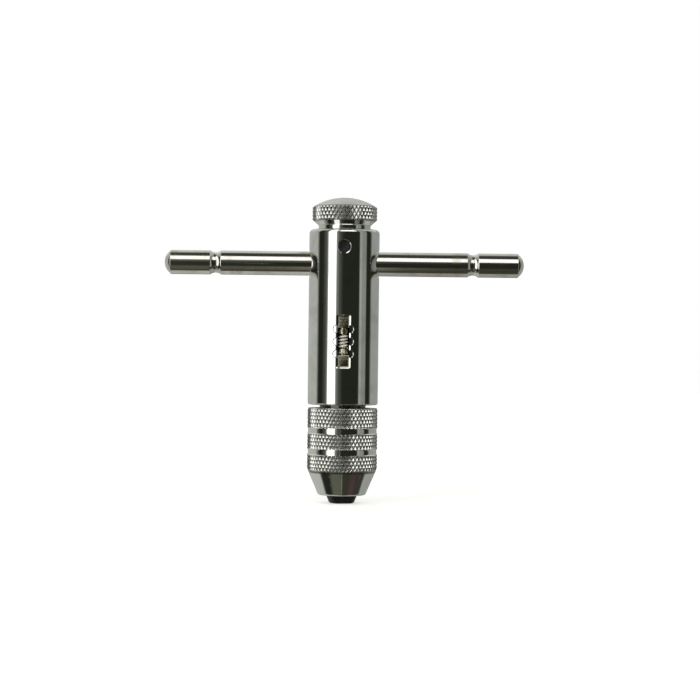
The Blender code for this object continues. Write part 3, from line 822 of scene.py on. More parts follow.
@dataclass(frozen=True)
class KnurledFinish(Finish):
    """Chrome over a knurl, darker in its valleys.

    Attributes:
        crest: The radius at the knurl's tips.
        depth: The knurl's depth.
        valley_darkening_share: How much of the darkening in the valleys shows.
        handled_share: How much of the handling marks shows.
        knurl_roughness: How rough the knurled part is.
        polished: (foot, top) heights of the parts between that stay polished.
        blend_height: The height over which the knurl's roughness goes over to theirs.
    """

    crest: float = SLEEVE_CREST
    depth: float = KNURL_DEPTH
    valley_darkening_share: float = 0.85
    handled_share: float = 0.1
    knurl_roughness: float = 0.24
    polished: tuple = ((0.0, 9.0 * MM), LOWER_GROOVE, UPPER_GROOVE)
    blend_height: float = 0.06 * MM

    def marked_mask(self, graph: Graph, effects: Effects, place: object, marks: object) -> bpy.types.NodeSocket:
        """Where the finish is marked: the handling marks and the darkening in the valleys."""
        inputs = {"Vector": place, "Crest": self.crest, "Depth": self.depth}
        # Darker the deeper a point lies in the knurl's valleys.
        valley_darkening = graph.math("MULTIPLY", graph.group(effects.valley_darkening, inputs), self.valley_darkening_share)
        handled = graph.math("MULTIPLY", marks, self.handled_share)
        return graph.math("MAXIMUM", handled, valley_darkening)

    def base_roughness(self, graph: Graph, place: object) -> object:
        """Rough on the knurl and polished between its bands, by height."""
        height = graph.node("ShaderNodeSeparateXYZ", {0: place}).outputs["Z"]
        value = self.knurl_roughness
        for foot, top in self.polished:
            above = graph.ramp(height, foot - self.blend_height, foot)
            below = graph.ramp(height, top + self.blend_height, top)
            inside = graph.math("MULTIPLY", above, below)
            value = graph.ramp(inside, 0.0, 1.0, value, self.roughness)
        return value


@dataclass(frozen=True)
class DomeFinish(KnurledFinish):
    """The knob's finish: polished neck, satin dome.

    Attributes:
        satin_roughness: The dome's roughness.
        satin_from: The height where the dome's blasted surface starts.
        satin_full: The height where it is complete.
        grain_scale: How fine the blasted grain is.
        grain_share: How dark it is.
    """

    satin_roughness: float = 0.33
    satin_from: float = 82.1 * MM
    satin_full: float = 82.6 * MM
    grain_scale: float = 2600.0
    grain_share: float = 0.42

    def marked_mask(self, graph: Graph, effects: Effects, place: object, marks: object) -> bpy.types.NodeSocket:
        """Where the finish is marked: as for the knurl, and a blasted grain on the dome."""
        below = super().marked_mask(graph, effects, place, marks)
        grain = graph.group(effects.marks, {"Vector": place, "Scale": self.grain_scale})
        height = graph.node("ShaderNodeSeparateXYZ", {0: place}).outputs["Z"]
        share = graph.ramp(height, self.satin_from, self.satin_full, 0.0, self.grain_share)
        return graph.math("MAXIMUM", below, graph.math("MULTIPLY", grain, share))

    def base_roughness(self, graph: Graph, place: object) -> object:
        """As for the knurl, and satin on the dome, by height."""
        below = super().base_roughness(graph, place)
        height = graph.node("ShaderNodeSeparateXYZ", {0: place}).outputs["Z"]
        return graph.ramp(height, self.satin_from, self.satin_full, below, self.satin_roughness)


@dataclass(frozen=True)
class WornFinish(Finish):
    """A dark coating that is worn off along the edges.

    Attributes:
        wear_share: How much of an edge is bare.
        thin_share: How much of the metal shows in the handling marks.
    """

    wear_share: float = 0.6
    thin_share: float = 0.12

    def marked_mask(self, graph: Graph, effects: Effects, place: object, marks: object) -> bpy.types.NodeSocket:
        """Where the coating is thin: along the edges, and faintly in the marks."""
        pointiness = graph.node("ShaderNodeNewGeometry").outputs["Pointiness"]
        inputs = {"Pointiness": pointiness, "Vector": place, "Amount": self.wear_share}
        wear = graph.group(effects.wear, inputs)
        return graph.math("MAXIMUM", wear, graph.math("MULTIPLY", marks, self.thin_share))


CHROME = Finish("polished_chrome", (0.80, 0.81, 0.785), (0.66, 0.67, 0.63), 0.055, 0.05)
SLEEVE_CHROME = KnurledFinish("knurled_chrome", (0.84, 0.85, 0.82), (0.15, 0.145, 0.13), 0.07, 0.2)
KNOB_CHROME = DomeFinish(
    "satin_chrome",
    (0.76, 0.77, 0.74),
    (0.15, 0.145, 0.13),
    0.07,
    0.2,
    crest=KNOB_CREST,
    polished=((0.0, 78.35 * MM),),
    streak_depth=0.0002 * MM,
)
BAR_NICKEL = Finish(
    "bar_nickel",
    (0.79, 0.775, 0.73),
    (0.55, 0.52, 0.45),
    0.10,
    0.12,
    brushed=Axis.X,
    streak_depth=0.0015 * MM,
    ring_depth=0.0006 * MM,
    ring_pitch=0.15 * MM,
)
TURNED_STEEL = Finish(
    "turned_steel",
    (0.52, 0.52, 0.50),
    (0.30, 0.28, 0.24),
    0.28,
    0.2,
    ring_depth=0.004 * MM,
    ring_pitch=0.1 * MM,
)
HARD_STEEL = Finish(
    "hardened_steel",
    (0.36, 0.34, 0.31),
    (0.20, 0.17, 0.13),
    0.32,
    0.2,
    ring_depth=0.002 * MM,
)
# Dark steel for the spindle: its colour is painted shade, so the narrow gap between the barrel and the
# sleeve reads dark.
GAP_SHADE_STEEL = Finish(
    "gap_shade_steel",
    (0.15, 0.145, 0.13),
    (0.07, 0.062, 0.05),
    0.3,
    0.15,
    ring_depth=0.002 * MM,
)
PAWL_STEEL = Finish(
    "pawl_steel",
    (0.62, 0.58, 0.44),
    (0.38, 0.32, 0.22),
    0.22,
    0.2,
    brushed=Axis.X,
    streak_depth=0.004 * MM,
    streak_scale=2600.0,
    mark_scale=600.0,
)
SPRING_WIRE = Finish(
    "spring_wire",
    (0.97, 0.94, 0.86),
    (0.74, 0.69, 0.59),
    0.3,
    0.1,
    mark_scale=800.0,
    metallic=0.35,
)
BLACK_OXIDE = WornFinish(
    "black_oxide",
    (0.035, 0.036, 0.035),
    (0.16, 0.16, 0.155),
    0.38,
    0.1,
    streak_depth=0.002 * MM,
    mark_scale=500.0,
    metallic=0.75,
)


# ---------------------------------------------------------------------------
# Sub-assemblies
# ---------------------------------------------------------------------------


@dataclass
class Barrel:
    """The chromed outer tube with its cross hole, pin hole, pawl window and notches."""

    segments: int = 480
    edge_radius: float = 1.2 * MM
    edge_steps: int = 16
    crease: float = 22.0
    foot_chamfer: float = 0.4 * MM
    bore: float = 6.6 * MM
    bore_chamfer: float = 0.3 * MM
    counterbore: float = 7.4 * MM
    counterbore_depth: float = 1.2 * MM
    bar_clearance: float = 0.3 * MM
    bar_rim: float = 0.22 * MM
    bar_rim_slope: float = 45.0
    bar_hole_steps: int = 24
    pin_clearance: float = 0.1 * MM
    pin_rim: float = 0.215 * MM
    pin_rim_slope: float = 35.0
    window_half_width: float = 1.65 * MM
    window_foot: float = 37.9 * MM
    window_top: float = 52.0 * MM
    window_corner: float = 0.22 * MM
    window_rim: float = 0.37 * MM
    window_rim_slope: float = 30.0
    notch_radius: float = 1.05 * MM
    notch_side: float = 1.8 * MM
    notch_pitch: float = 3.4 * MM
    notch_depth: float = 0.36 * MM
    notch_rim: float = 0.14 * MM
    notch_rim_slope: float = 40.0
    notch_floor_rings: tuple = (0.3, 0.65, 1.0)
    outside: float = 1.2 * MM
    shell_match: float = 0.004 * MM
    facing_match: float = 0.99

    def build(self, material: bpy.types.Material) -> None:
        """Make the barrel: a turned tube, cut by every opening."""
        low, high = corners("barrel")
        radius = high[0]
        edge = (radius - self.edge_radius, high[2] - self.edge_radius)
        profile = outline(
            (self.counterbore, high[2]),
            arc(edge, self.edge_radius, 90.0, 0.0, self.edge_steps),
            (radius, low[2] + self.foot_chamfer),
            (radius - self.foot_chamfer, low[2]),
            (self.bore + self.bore_chamfer, low[2]),
            (self.bore, low[2] + self.bore_chamfer),
            (self.bore, high[2] - self.counterbore_depth),
            (self.counterbore, high[2] - self.counterbore_depth),
        )
        piece = make_object("barrel_shell", turned_skin(profile, self.segments))
        combine(piece, self.openings(radius), "DIFFERENCE")
        settle(piece, material, "barrel", "barrel", self.crease)
        self.true_normals(piece, radius, edge)

    def openings(self, radius: float) -> list:
        """Make every cutter: cross hole from both sides, pin hole, window and notches.

        Args:
            radius: The barrel's outer radius.

        Returns:
            The cutters.
        """
        bar_low, bar_high = corners("t_bar")
        bar_radius = (bar_high[2] - bar_low[2]) / 2 + self.bar_clearance
        bar_height = (bar_high[2] + bar_low[2]) / 2
        cutters = []
        levels = self.rimmed(radius, self.bar_rim, self.bar_rim_slope)
        for facing in (90.0, -90.0):
            size = (bar_radius, bar_radius, bar_radius)
            hole = Opening(*size, 0.0, bar_height, facing, self.bar_hole_steps)
            cutters.append(hole.solid("cross_hole_cut", levels))
        pin_low, pin_high = corners("selector_pin")
        pin_radius = (pin_high[0] - pin_low[0]) / 2 + self.pin_clearance
        pin_height = (pin_low[2] + pin_high[2]) / 2
        pin_hole = Opening(pin_radius, pin_radius, pin_radius, 0.0, pin_height)
        levels = self.rimmed(radius, self.pin_rim, self.pin_rim_slope)
        cutters.append(pin_hole.solid("pin_hole_cut", levels))
        middle = (self.window_foot + self.window_top) / 2
        half_height = (self.window_top - self.window_foot) / 2
        window = Opening(self.window_half_width, half_height, self.window_corner, 0.0, middle)
        levels = self.rimmed(radius, self.window_rim, self.window_rim_slope)
        cutters.append(window.solid("window_cut", levels))
        floor = radius - self.notch_depth
        levels = [(self.notch_radius * (ring - 1.0), floor) for ring in self.notch_floor_rings]
        levels += self.rimmed(radius, self.notch_rim, self.notch_rim_slope)[1:]
        for step in (-1, 0, 1):
            for side in (-self.notch_side, self.notch_side):
                size = (self.notch_radius, self.notch_radius, self.notch_radius)
                notch = Opening(*size, side, middle + step * self.notch_pitch)
                cutters.append(notch.solid("notch_cut", levels))
        return cutters

    def rimmed(self, radius: float, rim: float, slope: float) -> list:
        """The levels of a through cut with a sloping rim.

        The rim starts its width times the slope's tangent under the surface, and keeps
        its slope a little way outside.

        Args:
            radius: The barrel's outer radius.
            rim: The rim's width.
            slope: Its slope to the surface.

        Returns:
            (offset, shell radius) pairs from inside the bore outwards.
        """
        depth = rim * math.tan(math.radians(slope))
        return [
            (0.0, BORE_REACH),
            (0.0, radius - depth),
            (rim, radius),
            (2.0 * rim, radius + depth),
            (2.0 * rim, radius + depth + self.outside),
        ]

    def true_normals(self, piece: bpy.types.Object, radius: float, edge: tuple) -> None:
        """Give the turned faces the exact normals of the surface that they stand for.

        On a cylinder the normal is the point's own radial direction. On the top edge it
        points away from the edge's circle. A face counts where every corner lies within
        shell_match of the surface and, on a cylinder, where the cosine between its own
        normal and the radial one is over facing_match. The rest keep their own normals.

        Args:
            piece: The barrel.
            radius: Its outer radius.
            edge: The (radius, height) centre of the top edge's arc.
        """
        mesh = piece.data
        count = len(mesh.loops)
        vertices = np.zeros(len(mesh.vertices) * 3, np.float32)
        mesh.vertices.foreach_get("co", vertices)
        index = np.zeros(count, np.int32)
        mesh.loops.foreach_get("vertex_index", index)
        starts = np.zeros(len(mesh.polygons), np.int32)
        sizes = np.zeros(len(mesh.polygons), np.int32)
        mesh.polygons.foreach_get("loop_start", starts)
        mesh.polygons.foreach_get("loop_total", sizes)
        face = np.zeros(len(mesh.polygons) * 3, np.float32)
        mesh.polygons.foreach_get("normal", face)
        face = np.repeat(face.reshape(-1, 3), sizes, axis=0)
        points = vertices.reshape(-1, 3).astype(float)[index]
        x, y, height = points.T
        distance = np.hypot(x, y)
        radial = np.stack((x / distance, y / distance, np.zeros(count)), axis=1)
        facing = np.sum(radial * face, axis=1)
        tolerance = self.shell_match

        def whole_faces(matches: Array) -> Array:
            """Keep the corners of faces that match at every corner."""
            return np.repeat(np.logical_and.reduceat(matches, starts), sizes)

        normals = np.zeros((count, 3))
        for shell, sign in ((radius, 1.0), (radius - self.notch_depth, 1.0), (self.bore, -1.0)):
            on_shell = np.abs(distance - shell) < tolerance
            found = whole_faces(on_shell & (sign * facing > self.facing_match))
            normals[found] = sign * radial[found]
        away = np.stack((distance - edge[0], height - edge[1]), axis=1)
        on_edge = np.abs(np.linalg.norm(away, axis=1) - self.edge_radius) < tolerance
        found = whole_faces(on_edge & np.all(away > -tolerance, axis=1))
        rounded = radial * (away[:, :1] / self.edge_radius)
        rounded[:, 2] = away[:, 1] / self.edge_radius
        normals[found] = rounded[found]
        mesh.normals_split_custom_set(normals)


@dataclass
class TBar:
    """The sliding cross handle, with domed ends and two catch grooves."""

    segments: int = 128
    dome: float = 1.6 * MM
    dome_steps: int = 22
    edge: float = 0.2 * MM
    edge_start: float = 55.0
    edge_steps: int = 6
    catch_from_end: float = 14.2 * MM
    catch_width: float = 3.0 * MM
    catch_depth: float = 0.55 * MM
    catch_steps: int = 18
    catch_lip: float = 0.18 * MM
    lip_share: float = 0.6
    lip_sink: float = 0.02 * MM

    def build(self, material: bpy.types.Material) -> None:
        """Make the bar: one turned outline, the same at both ends."""
        low, high = corners("t_bar")
        radius = (high[2] - low[2]) / 2
        half_length = (high[0] - low[0]) / 2
        base = radius - self.edge
        dome_radius = (base**2 + self.dome**2) / (2 * self.dome)
        dome_centre = half_length - dome_radius
        dome_foot = math.degrees(math.asin((half_length - self.dome - dome_centre) / dome_radius))
        edge_centre = (radius - self.edge, half_length - self.dome - self.edge)
        half = self.catch_width / 2
        groove_radius = (half**2 + self.catch_depth**2) / (2 * self.catch_depth)
        groove_turn = math.degrees(math.asin((half - self.catch_lip) / groove_radius))
        groove_centre = (radius - self.catch_depth + groove_radius, half_length - self.catch_from_end)
        lip_height = half + self.catch_lip * self.lip_share
        lip_radius = radius - self.lip_sink
        groove_ends = (180.0 - groove_turn, 180.0 + groove_turn)
        upper = outline(
            arc((0.0, dome_centre), dome_radius, DOME_START, dome_foot, self.dome_steps),
            arc(edge_centre, self.edge, self.edge_start, 0.0, self.edge_steps),
            (radius, groove_centre[1] + lip_height),
            (lip_radius, groove_centre[1] + half),
            arc(groove_centre, groove_radius, *groove_ends, self.catch_steps),
            (lip_radius, groove_centre[1] - half),
            (radius, groove_centre[1] - lip_height),
        )
        lower = upper[::-1] * (1.0, -1.0)
        skin = turned_skin(outline(upper, lower), self.segments, half_length, -half_length)
        height = (low[2] + high[2]) / 2
        piece = make_object("t_bar_rod", placed(skin, lay_along_x, height))
        settle(piece, material, "t_bar", "t_bar")


@dataclass
class SelectorKnob:
    """The domed selector knob with its knurled rim and polished neck."""

    knurl: DiamondKnurl
    radius: float = KNOB_CREST
    dome_radius: float = 16.0 * MM
    dome_edge: float = 8.7 * MM
    dome_steps: int = 26
    rim_turn: float = 6.0
    rim_gap: float = 0.4
    rim_steps: int = 12
    shoulder_steps: int = 3
    band_top: float = 82.2 * MM
    band_foot: float = 78.8 * MM
    neck_radius: float = 7.2 * MM
    neck_top: float = 77.35 * MM
    neck_fillet: float = 0.5 * MM
    fillet_middle: tuple = (0.12 * MM, -0.02 * MM)
    fillet_top_share: float = 0.72
    fillet_foot: float = 0.25 * MM
    socket_radius: float = 5.0 * MM
    socket_top: float = 81.6 * MM
    knurl_overrun: float = 0.5 * MM
    overrun_steps: int = 5

    def build(self, material: bpy.types.Material) -> None:
        """Make the knob: a turned cap whose rim is knurled."""
        low, high = corners("knob")
        dome_centre = (0.0, high[2] - self.dome_radius)
        dome_end = math.degrees(math.acos(self.dome_edge / self.dome_radius))
        rim_ends = (dome_end + self.rim_turn - self.rim_gap, dome_end + self.rim_gap)
        run_out = self.band_foot - self.knurl_overrun
        run_share = (self.band_foot - run_out) / (self.band_foot - self.neck_top)
        run_radius = self.radius - run_share * (self.radius - self.neck_radius)
        band = self.knurl.heights(self.band_foot, self.band_top)
        slope = np.linspace(self.band_foot, run_out, self.overrun_steps + 1)[1:]
        slope_radius = np.linspace(self.radius, run_radius, self.overrun_steps + 1)[1:]
        shoulder = np.linspace(0.0, 1.0, self.shoulder_steps + 1)[:-1, None]
        dome_rise = self.dome_radius * math.sin(math.radians(dome_end))
        dome_foot = np.array((self.dome_edge, dome_centre[1] + dome_rise))
        band_corner = np.array((self.radius, self.band_top))
        fillet_top = self.neck_top + self.neck_fillet * self.fillet_top_share
        profile = outline(
            arc(dome_centre, self.dome_radius, DOME_START, dome_end + self.rim_turn, self.dome_steps),
            arc(dome_centre, self.dome_radius, *rim_ends, self.rim_steps),
            dome_foot + (band_corner - dome_foot) * shoulder,
            np.stack((np.full(len(band), self.radius), band), axis=1),
            (self.radius, self.band_foot),
            np.stack((slope_radius, slope), axis=1),
            (self.neck_radius + self.neck_fillet, fillet_top),
            np.array((self.neck_radius, self.neck_top)) + self.fillet_middle,
            (self.neck_radius, self.neck_top - self.fillet_foot),
            (self.neck_radius, low[2]),
            (self.socket_radius, low[2]),
            (self.socket_radius, self.socket_top),
        )
        segments = self.knurl.count * self.knurl.columns
        skin = turned_skin(profile, segments, high[2], self.socket_top)
        self.knurl.carve(skin, self.radius, [(run_out - self.knurl.fade, high[2])])
        piece = make_object("selector_knob", skin)
        settle(piece, material, "selector", "knob")


@dataclass
class SelectorPin:
    """The black pin sunk in the barrel's small front hole."""

    segments: int = 48
    nose_radius: float = 1.1 * MM
    nose_length: float = 1.2 * MM
    edge: float = 0.3 * MM
    edge_steps: int = 6
    dimple: float = 0.12 * MM
    dimple_floor: float = 0.3
    dimple_wall: float = 0.62
    wall_sunk: float = 0.35

    def build(self, material: bpy.types.Material) -> None:
        """Make the pin: a turned outline about Z, then laid along -Y.

        The dimple's floor and wall are shares of the pin's radius, and the wall's outer
        end is sunk by a share of the dimple's depth.
        """
        low, high = corners("selector_pin")
        radius = (high[0] - low[0]) / 2
        face, nose_end = -low[1], -high[1]
        shoulder = nose_end + self.nose_length
        profile = outline(
            (radius * self.dimple_floor, face - self.dimple),
            (radius * self.dimple_wall, face - self.dimple * self.wall_sunk),
            arc((radius - self.edge, face - self.edge), self.edge, 90.0, 0.0, self.edge_steps),
            (radius, shoulder),
            (self.nose_radius, shoulder),
            (self.nose_radius, nose_end),
        )
        skin = turned_skin(profile, self.segments, face - self.dimple, nose_end)
        height = (low[2] + high[2]) / 2
        piece = make_object("selector_pin_head", placed(skin, lay_along_minus_y, height))
        settle(piece, material, "barrel", "selector_pin")


@dataclass
class Pawls:
    """The two pawls in the window and the spring between them."""

    boss_centre: float = 7.4 * MM
    boss_neck: float = 0.9 * MM
    boss_top: float = 3.35 * MM
    boss_foot: float = 2.05 * MM
    boss_top_radius: float = 1.5 * MM
    boss_foot_radius: float = 1.2 * MM
    boss_edge: float = 0.06 * MM
    boss_fillet: float = 0.05 * MM
    boss_flare: float = 0.02 * MM
    boss_segments: int = 40
    spigot_radius: float = 0.55 * MM
    spigot_foot: float = 1.7 * MM
    head_foot: float = 3.75 * MM
    head_top: float = 6.95 * MM
    inner_top: float = 6.75 * MM
    lip_face: float = 6.2 * MM
    tooth_tip: float = 8.5 * MM
    ramp_end: float = 7.1 * MM
    steep_side: float = 0.85 * MM
    ramp_side: float = 1.3 * MM
    tip_land: float = 0.15 * MM
    root_depth: float = 1.0 * MM
    overlap: float = 0.5 * MM
    inset: float = 0.05 * MM
    edge: float = 0.13 * MM
    coil_radius: float = 1.1 * MM
    wire: float = 0.42 * MM
    coil_half: float = 1.93 * MM
    turns: float = 4.25
    dead_turns: float = 0.5
    dead_rate: float = 0.42
    coil_steps: int = 40
    wire_sides: int = 16

    def build(self, steel: bpy.types.Material, wire: bpy.types.Material) -> None:
        """Make both pawls and the spring."""
        upper_low, upper_high = corners("pawl_upper")
        lower_low, _ = corners("pawl_lower")
        middle = (upper_high[2] + lower_low[2]) / 2
        for name, turn in (("upper", 0.0), ("lower", 180.0)):
            piece = self.pawl(f"pawl_{name}_block", upper_low, upper_high, turn, middle)
            settle(piece, steel, f"pawl_{name}", f"pawl_{name}")
        spring = make_object("pawl_spring_coil", self.spring(middle))
        settle(spring, wire, "barrel", "pawl_spring")

    def pawl(self, name: str, low: Array, high: Array, turn: float, middle: float) -> bpy.types.Object:
        """Join a pawl's head, back, tooth and boss, each with its own rounded edges.

        Args:
            name: The piece's name.
            low: The upper pawl's lowest corner in the frame.
            high: Its highest corner.
            turn: 0 for the upper pawl, 180 for the lower one, about Y.
            middle: The height of the window's middle.

        Returns:
            The pawl in place.
        """
        half_width = (high[0] - low[0]) / 2
        face, back = low[1], high[1]
        head = self.rectangle(half_width, self.head_foot, self.head_top)
        inner = self.rectangle(half_width, self.head_foot, self.inner_top)
        root = self.head_foot + self.root_depth
        tooth = np.array(
            (
                (-self.steep_side, root),
                (self.ramp_side, root),
                (self.ramp_side, self.ramp_end),
                (self.tip_land - self.steep_side, self.tooth_tip),
                (-self.steep_side, self.tooth_tip),
            )
        )
        boss = outline(
            (self.boss_neck, root),
            (self.boss_neck, self.boss_top + self.boss_fillet),
            (self.boss_top_radius - self.boss_edge, self.boss_top),
            (self.boss_top_radius, self.boss_top - self.boss_edge),
            (self.boss_foot_radius + self.boss_flare, self.boss_foot + self.boss_edge),
            (self.boss_foot_radius - self.boss_edge, self.boss_foot),
            (self.spigot_radius, self.boss_foot),
            (self.spigot_radius, self.spigot_foot),
        )
        boss_skin = turned_skin(boss, self.boss_segments, root, self.spigot_foot)
        shift = np.array((0.0, -self.boss_centre, 0.0))
        placed(boss_skin, lambda points: points + shift)
        skins = (
            self.extruded(head, face, -self.lip_face),
            self.extruded(inner, -self.lip_face - self.overlap, back),
            self.extruded(tooth, -self.lip_face + self.inset, back - self.inset),
            boss_skin,
        )
        parts = []
        for index, skin in enumerate(skins):
            placed(skin, turn_about_y, turn)
            placed(skin, lambda points: points + np.array((0.0, 0.0, middle)))
            part = make_object(name if index == 0 else f"{name}_part", skin)
            face_outwards(part)
            if skin is not boss_skin:
                round_edges(part, self.edge if index == 0 else self.edge / 2)
            parts.append(part)
        apply_modifiers(parts[0])
        combine(parts[0], parts[1:], "UNION")
        return parts[0]

    @staticmethod
    def rectangle(half_width: float, foot: float, top: float) -> Array:
        """An (x, z) rectangle."""
        left, right = -half_width, half_width
        return np.array(((left, foot), (right, foot), (right, top), (left, top)))

    @staticmethod
    def extruded(shape: Array, front: float, back: float) -> Skin:
        """Carry an (x, z) outline along Y and close both ends from its middle."""
        rows = [np.insert(shape, 1, y, axis=1) for y in (front, back)]
        poles = [np.insert(shape.mean(axis=0), 1, y) for y in (front, back)]
        return Skin(np.stack(rows), False, poles[0], poles[1])

    def spring(self, middle: float) -> Skin:
        """Carry a circle along a helix whose end turns lie closed.

        The height rises with the integral of a rate that is low over the dead turns at
        both ends and even between them. The circle is spanned by the helix's radial
        direction and the one square to it and to the wire.

        Args:
            middle: The height of the spring's middle.

        Returns:
            The wire's skin.
        """
        count = int(self.turns * self.coil_steps) + 1
        turned = np.linspace(0.0, self.turns, count)
        inside = np.clip(np.minimum(turned, self.turns - turned) / self.dead_turns, 0.0, 1.0)
        eased = inside**2 * (3.0 - 2.0 * inside)
        rate = self.dead_rate + (1.0 - self.dead_rate) * eased
        rise = np.concatenate(([0.0], np.cumsum((rate[1:] + rate[:-1]) / 2.0)))
        half = self.coil_half - self.wire / 2
        height = middle - half + 2.0 * half * rise / rise[-1]
        angle = math.tau * turned
        radial = np.stack((np.cos(angle), np.sin(angle), np.zeros(count)), axis=1)
        path = self.coil_radius * radial + np.array((0.0, -self.boss_centre, 0.0))
        path[:, 2] = height
        along = np.gradient(path, axis=0)
        along /= np.linalg.norm(along, axis=1, keepdims=True)
        across = np.cross(along, radial)
        sides = -math.tau * np.arange(self.wire_sides) / self.wire_sides
        ring = np.cos(sides)[:, None] * radial[:, None] + np.sin(sides)[:, None] * across[:, None]
        return Skin(path[:, None] + self.wire / 2 * ring, False, path[0], path[-1])


@dataclass
class ChuckSleeve:
    """The chuck sleeve: three knurled bands, two plain grooves and a nose cone."""

    knurl: DiamondKnurl
    edge: float = 0.25 * MM
    band_start: float = 0.1 * MM
    band_margin: float = 0.02 * MM
    groove_depth: float = 0.24 * MM
    upper_groove: tuple = UPPER_GROOVE
    lower_groove: tuple = LOWER_GROOVE
    cone_top: float = 9.8 * MM
    cone_angle: float = 23.3
    nose_edge: float = 0.8 * MM
    nose_steps: int = 10
    nose_hole: float = 4.6 * MM
    bore: float = 8.0 * MM
    jaw_cone: float = 22.0
    seat_radius: float = 8.35 * MM
    seat_top: float = 24.55 * MM
    seat_foot: float = 23.35 * MM
    run_out: float = 1.0 * MM
    run_out_steps: int = 9

    def build(self, material: bpy.types.Material) -> None:
        """Make the sleeve: a turned ring with its bands carved."""
        low, high = corners("chuck_sleeve")
        radius = high[0]
        bands = [
            (self.upper_groove[1], high[2] - self.band_start),
            (self.lower_groove[1], self.upper_groove[0]),
            (self.cone_top - self.run_out - self.knurl.fade, self.lower_groove[0]),
        ]
        segments = self.knurl.count * self.knurl.columns
        skin = turned_skin(self.profile(low[2], high[2], radius), segments)
        self.knurl.carve(skin, radius, bands)
        piece = make_object("chuck_sleeve_knurled", skin)
        settle(piece, material, "chuck_sleeve", "chuck_sleeve")

    def profile(self, foot: float, top: float, radius: float) -> Array:
        """Work out the sleeve's closed outline.

        Args:
            foot: The nose's height.
            top: The height of the sleeve's upper end.
            radius: The radius at the knurl's tips.

        Returns:
            The outline, down its outer side and up its inner one.
        """
        lean = math.radians(self.cone_angle)
        corner_radius = radius - (self.cone_top - foot) * math.tan(lean)
        back = self.nose_edge / math.tan((math.pi / 2 + lean) / 2)
        nose_centre = (corner_radius - back, foot + self.nose_edge)
        cone_height = (self.bore - self.nose_hole) / math.tan(math.radians(self.jaw_cone))
        parts = [(self.bore + self.edge, top), (radius - self.edge, top), (radius, top - self.edge)]
        upper = top - self.edge
        for groove_foot, groove_top in (self.upper_groove, self.lower_groove):
            parts.append(self.band(radius, groove_top, upper))
            floor = radius - self.groove_depth
            parts.append((radius, groove_top))
            parts.append((floor, groove_top - self.groove_depth))
            parts.append((floor, groove_foot + self.groove_depth))
            parts.append((radius, groove_foot))
            upper = groove_foot
        parts.append(self.band(radius, self.cone_top, upper))
        parts.append((radius, self.cone_top))
        run = np.linspace(0.0, self.run_out + self.knurl.fade, self.run_out_steps + 1)[1:]
        parts.append(np.stack((radius - run * math.tan(lean), self.cone_top - run), axis=1))
        parts.append(arc(nose_centre, self.nose_edge, -self.cone_angle, -90.0, self.nose_steps))
        parts.append((self.nose_hole, foot))
        parts.append((self.bore, foot + cone_height))
        parts.append((self.bore, self.seat_foot))
        parts.append((self.seat_radius, self.seat_foot))
        parts.append((self.seat_radius, self.seat_top))
        parts.append((self.bore, self.seat_top))
        parts.append((self.bore, top - self.edge))
        return outline(*parts)

    def band(self, radius: float, foot: float, top: float) -> Array:
        """The rows of one knurled band, on the knurl's own grid."""
        heights = self.knurl.heights(foot + self.band_margin, top - self.band_margin)
        return np.stack((np.full(len(heights), radius), heights), axis=1)


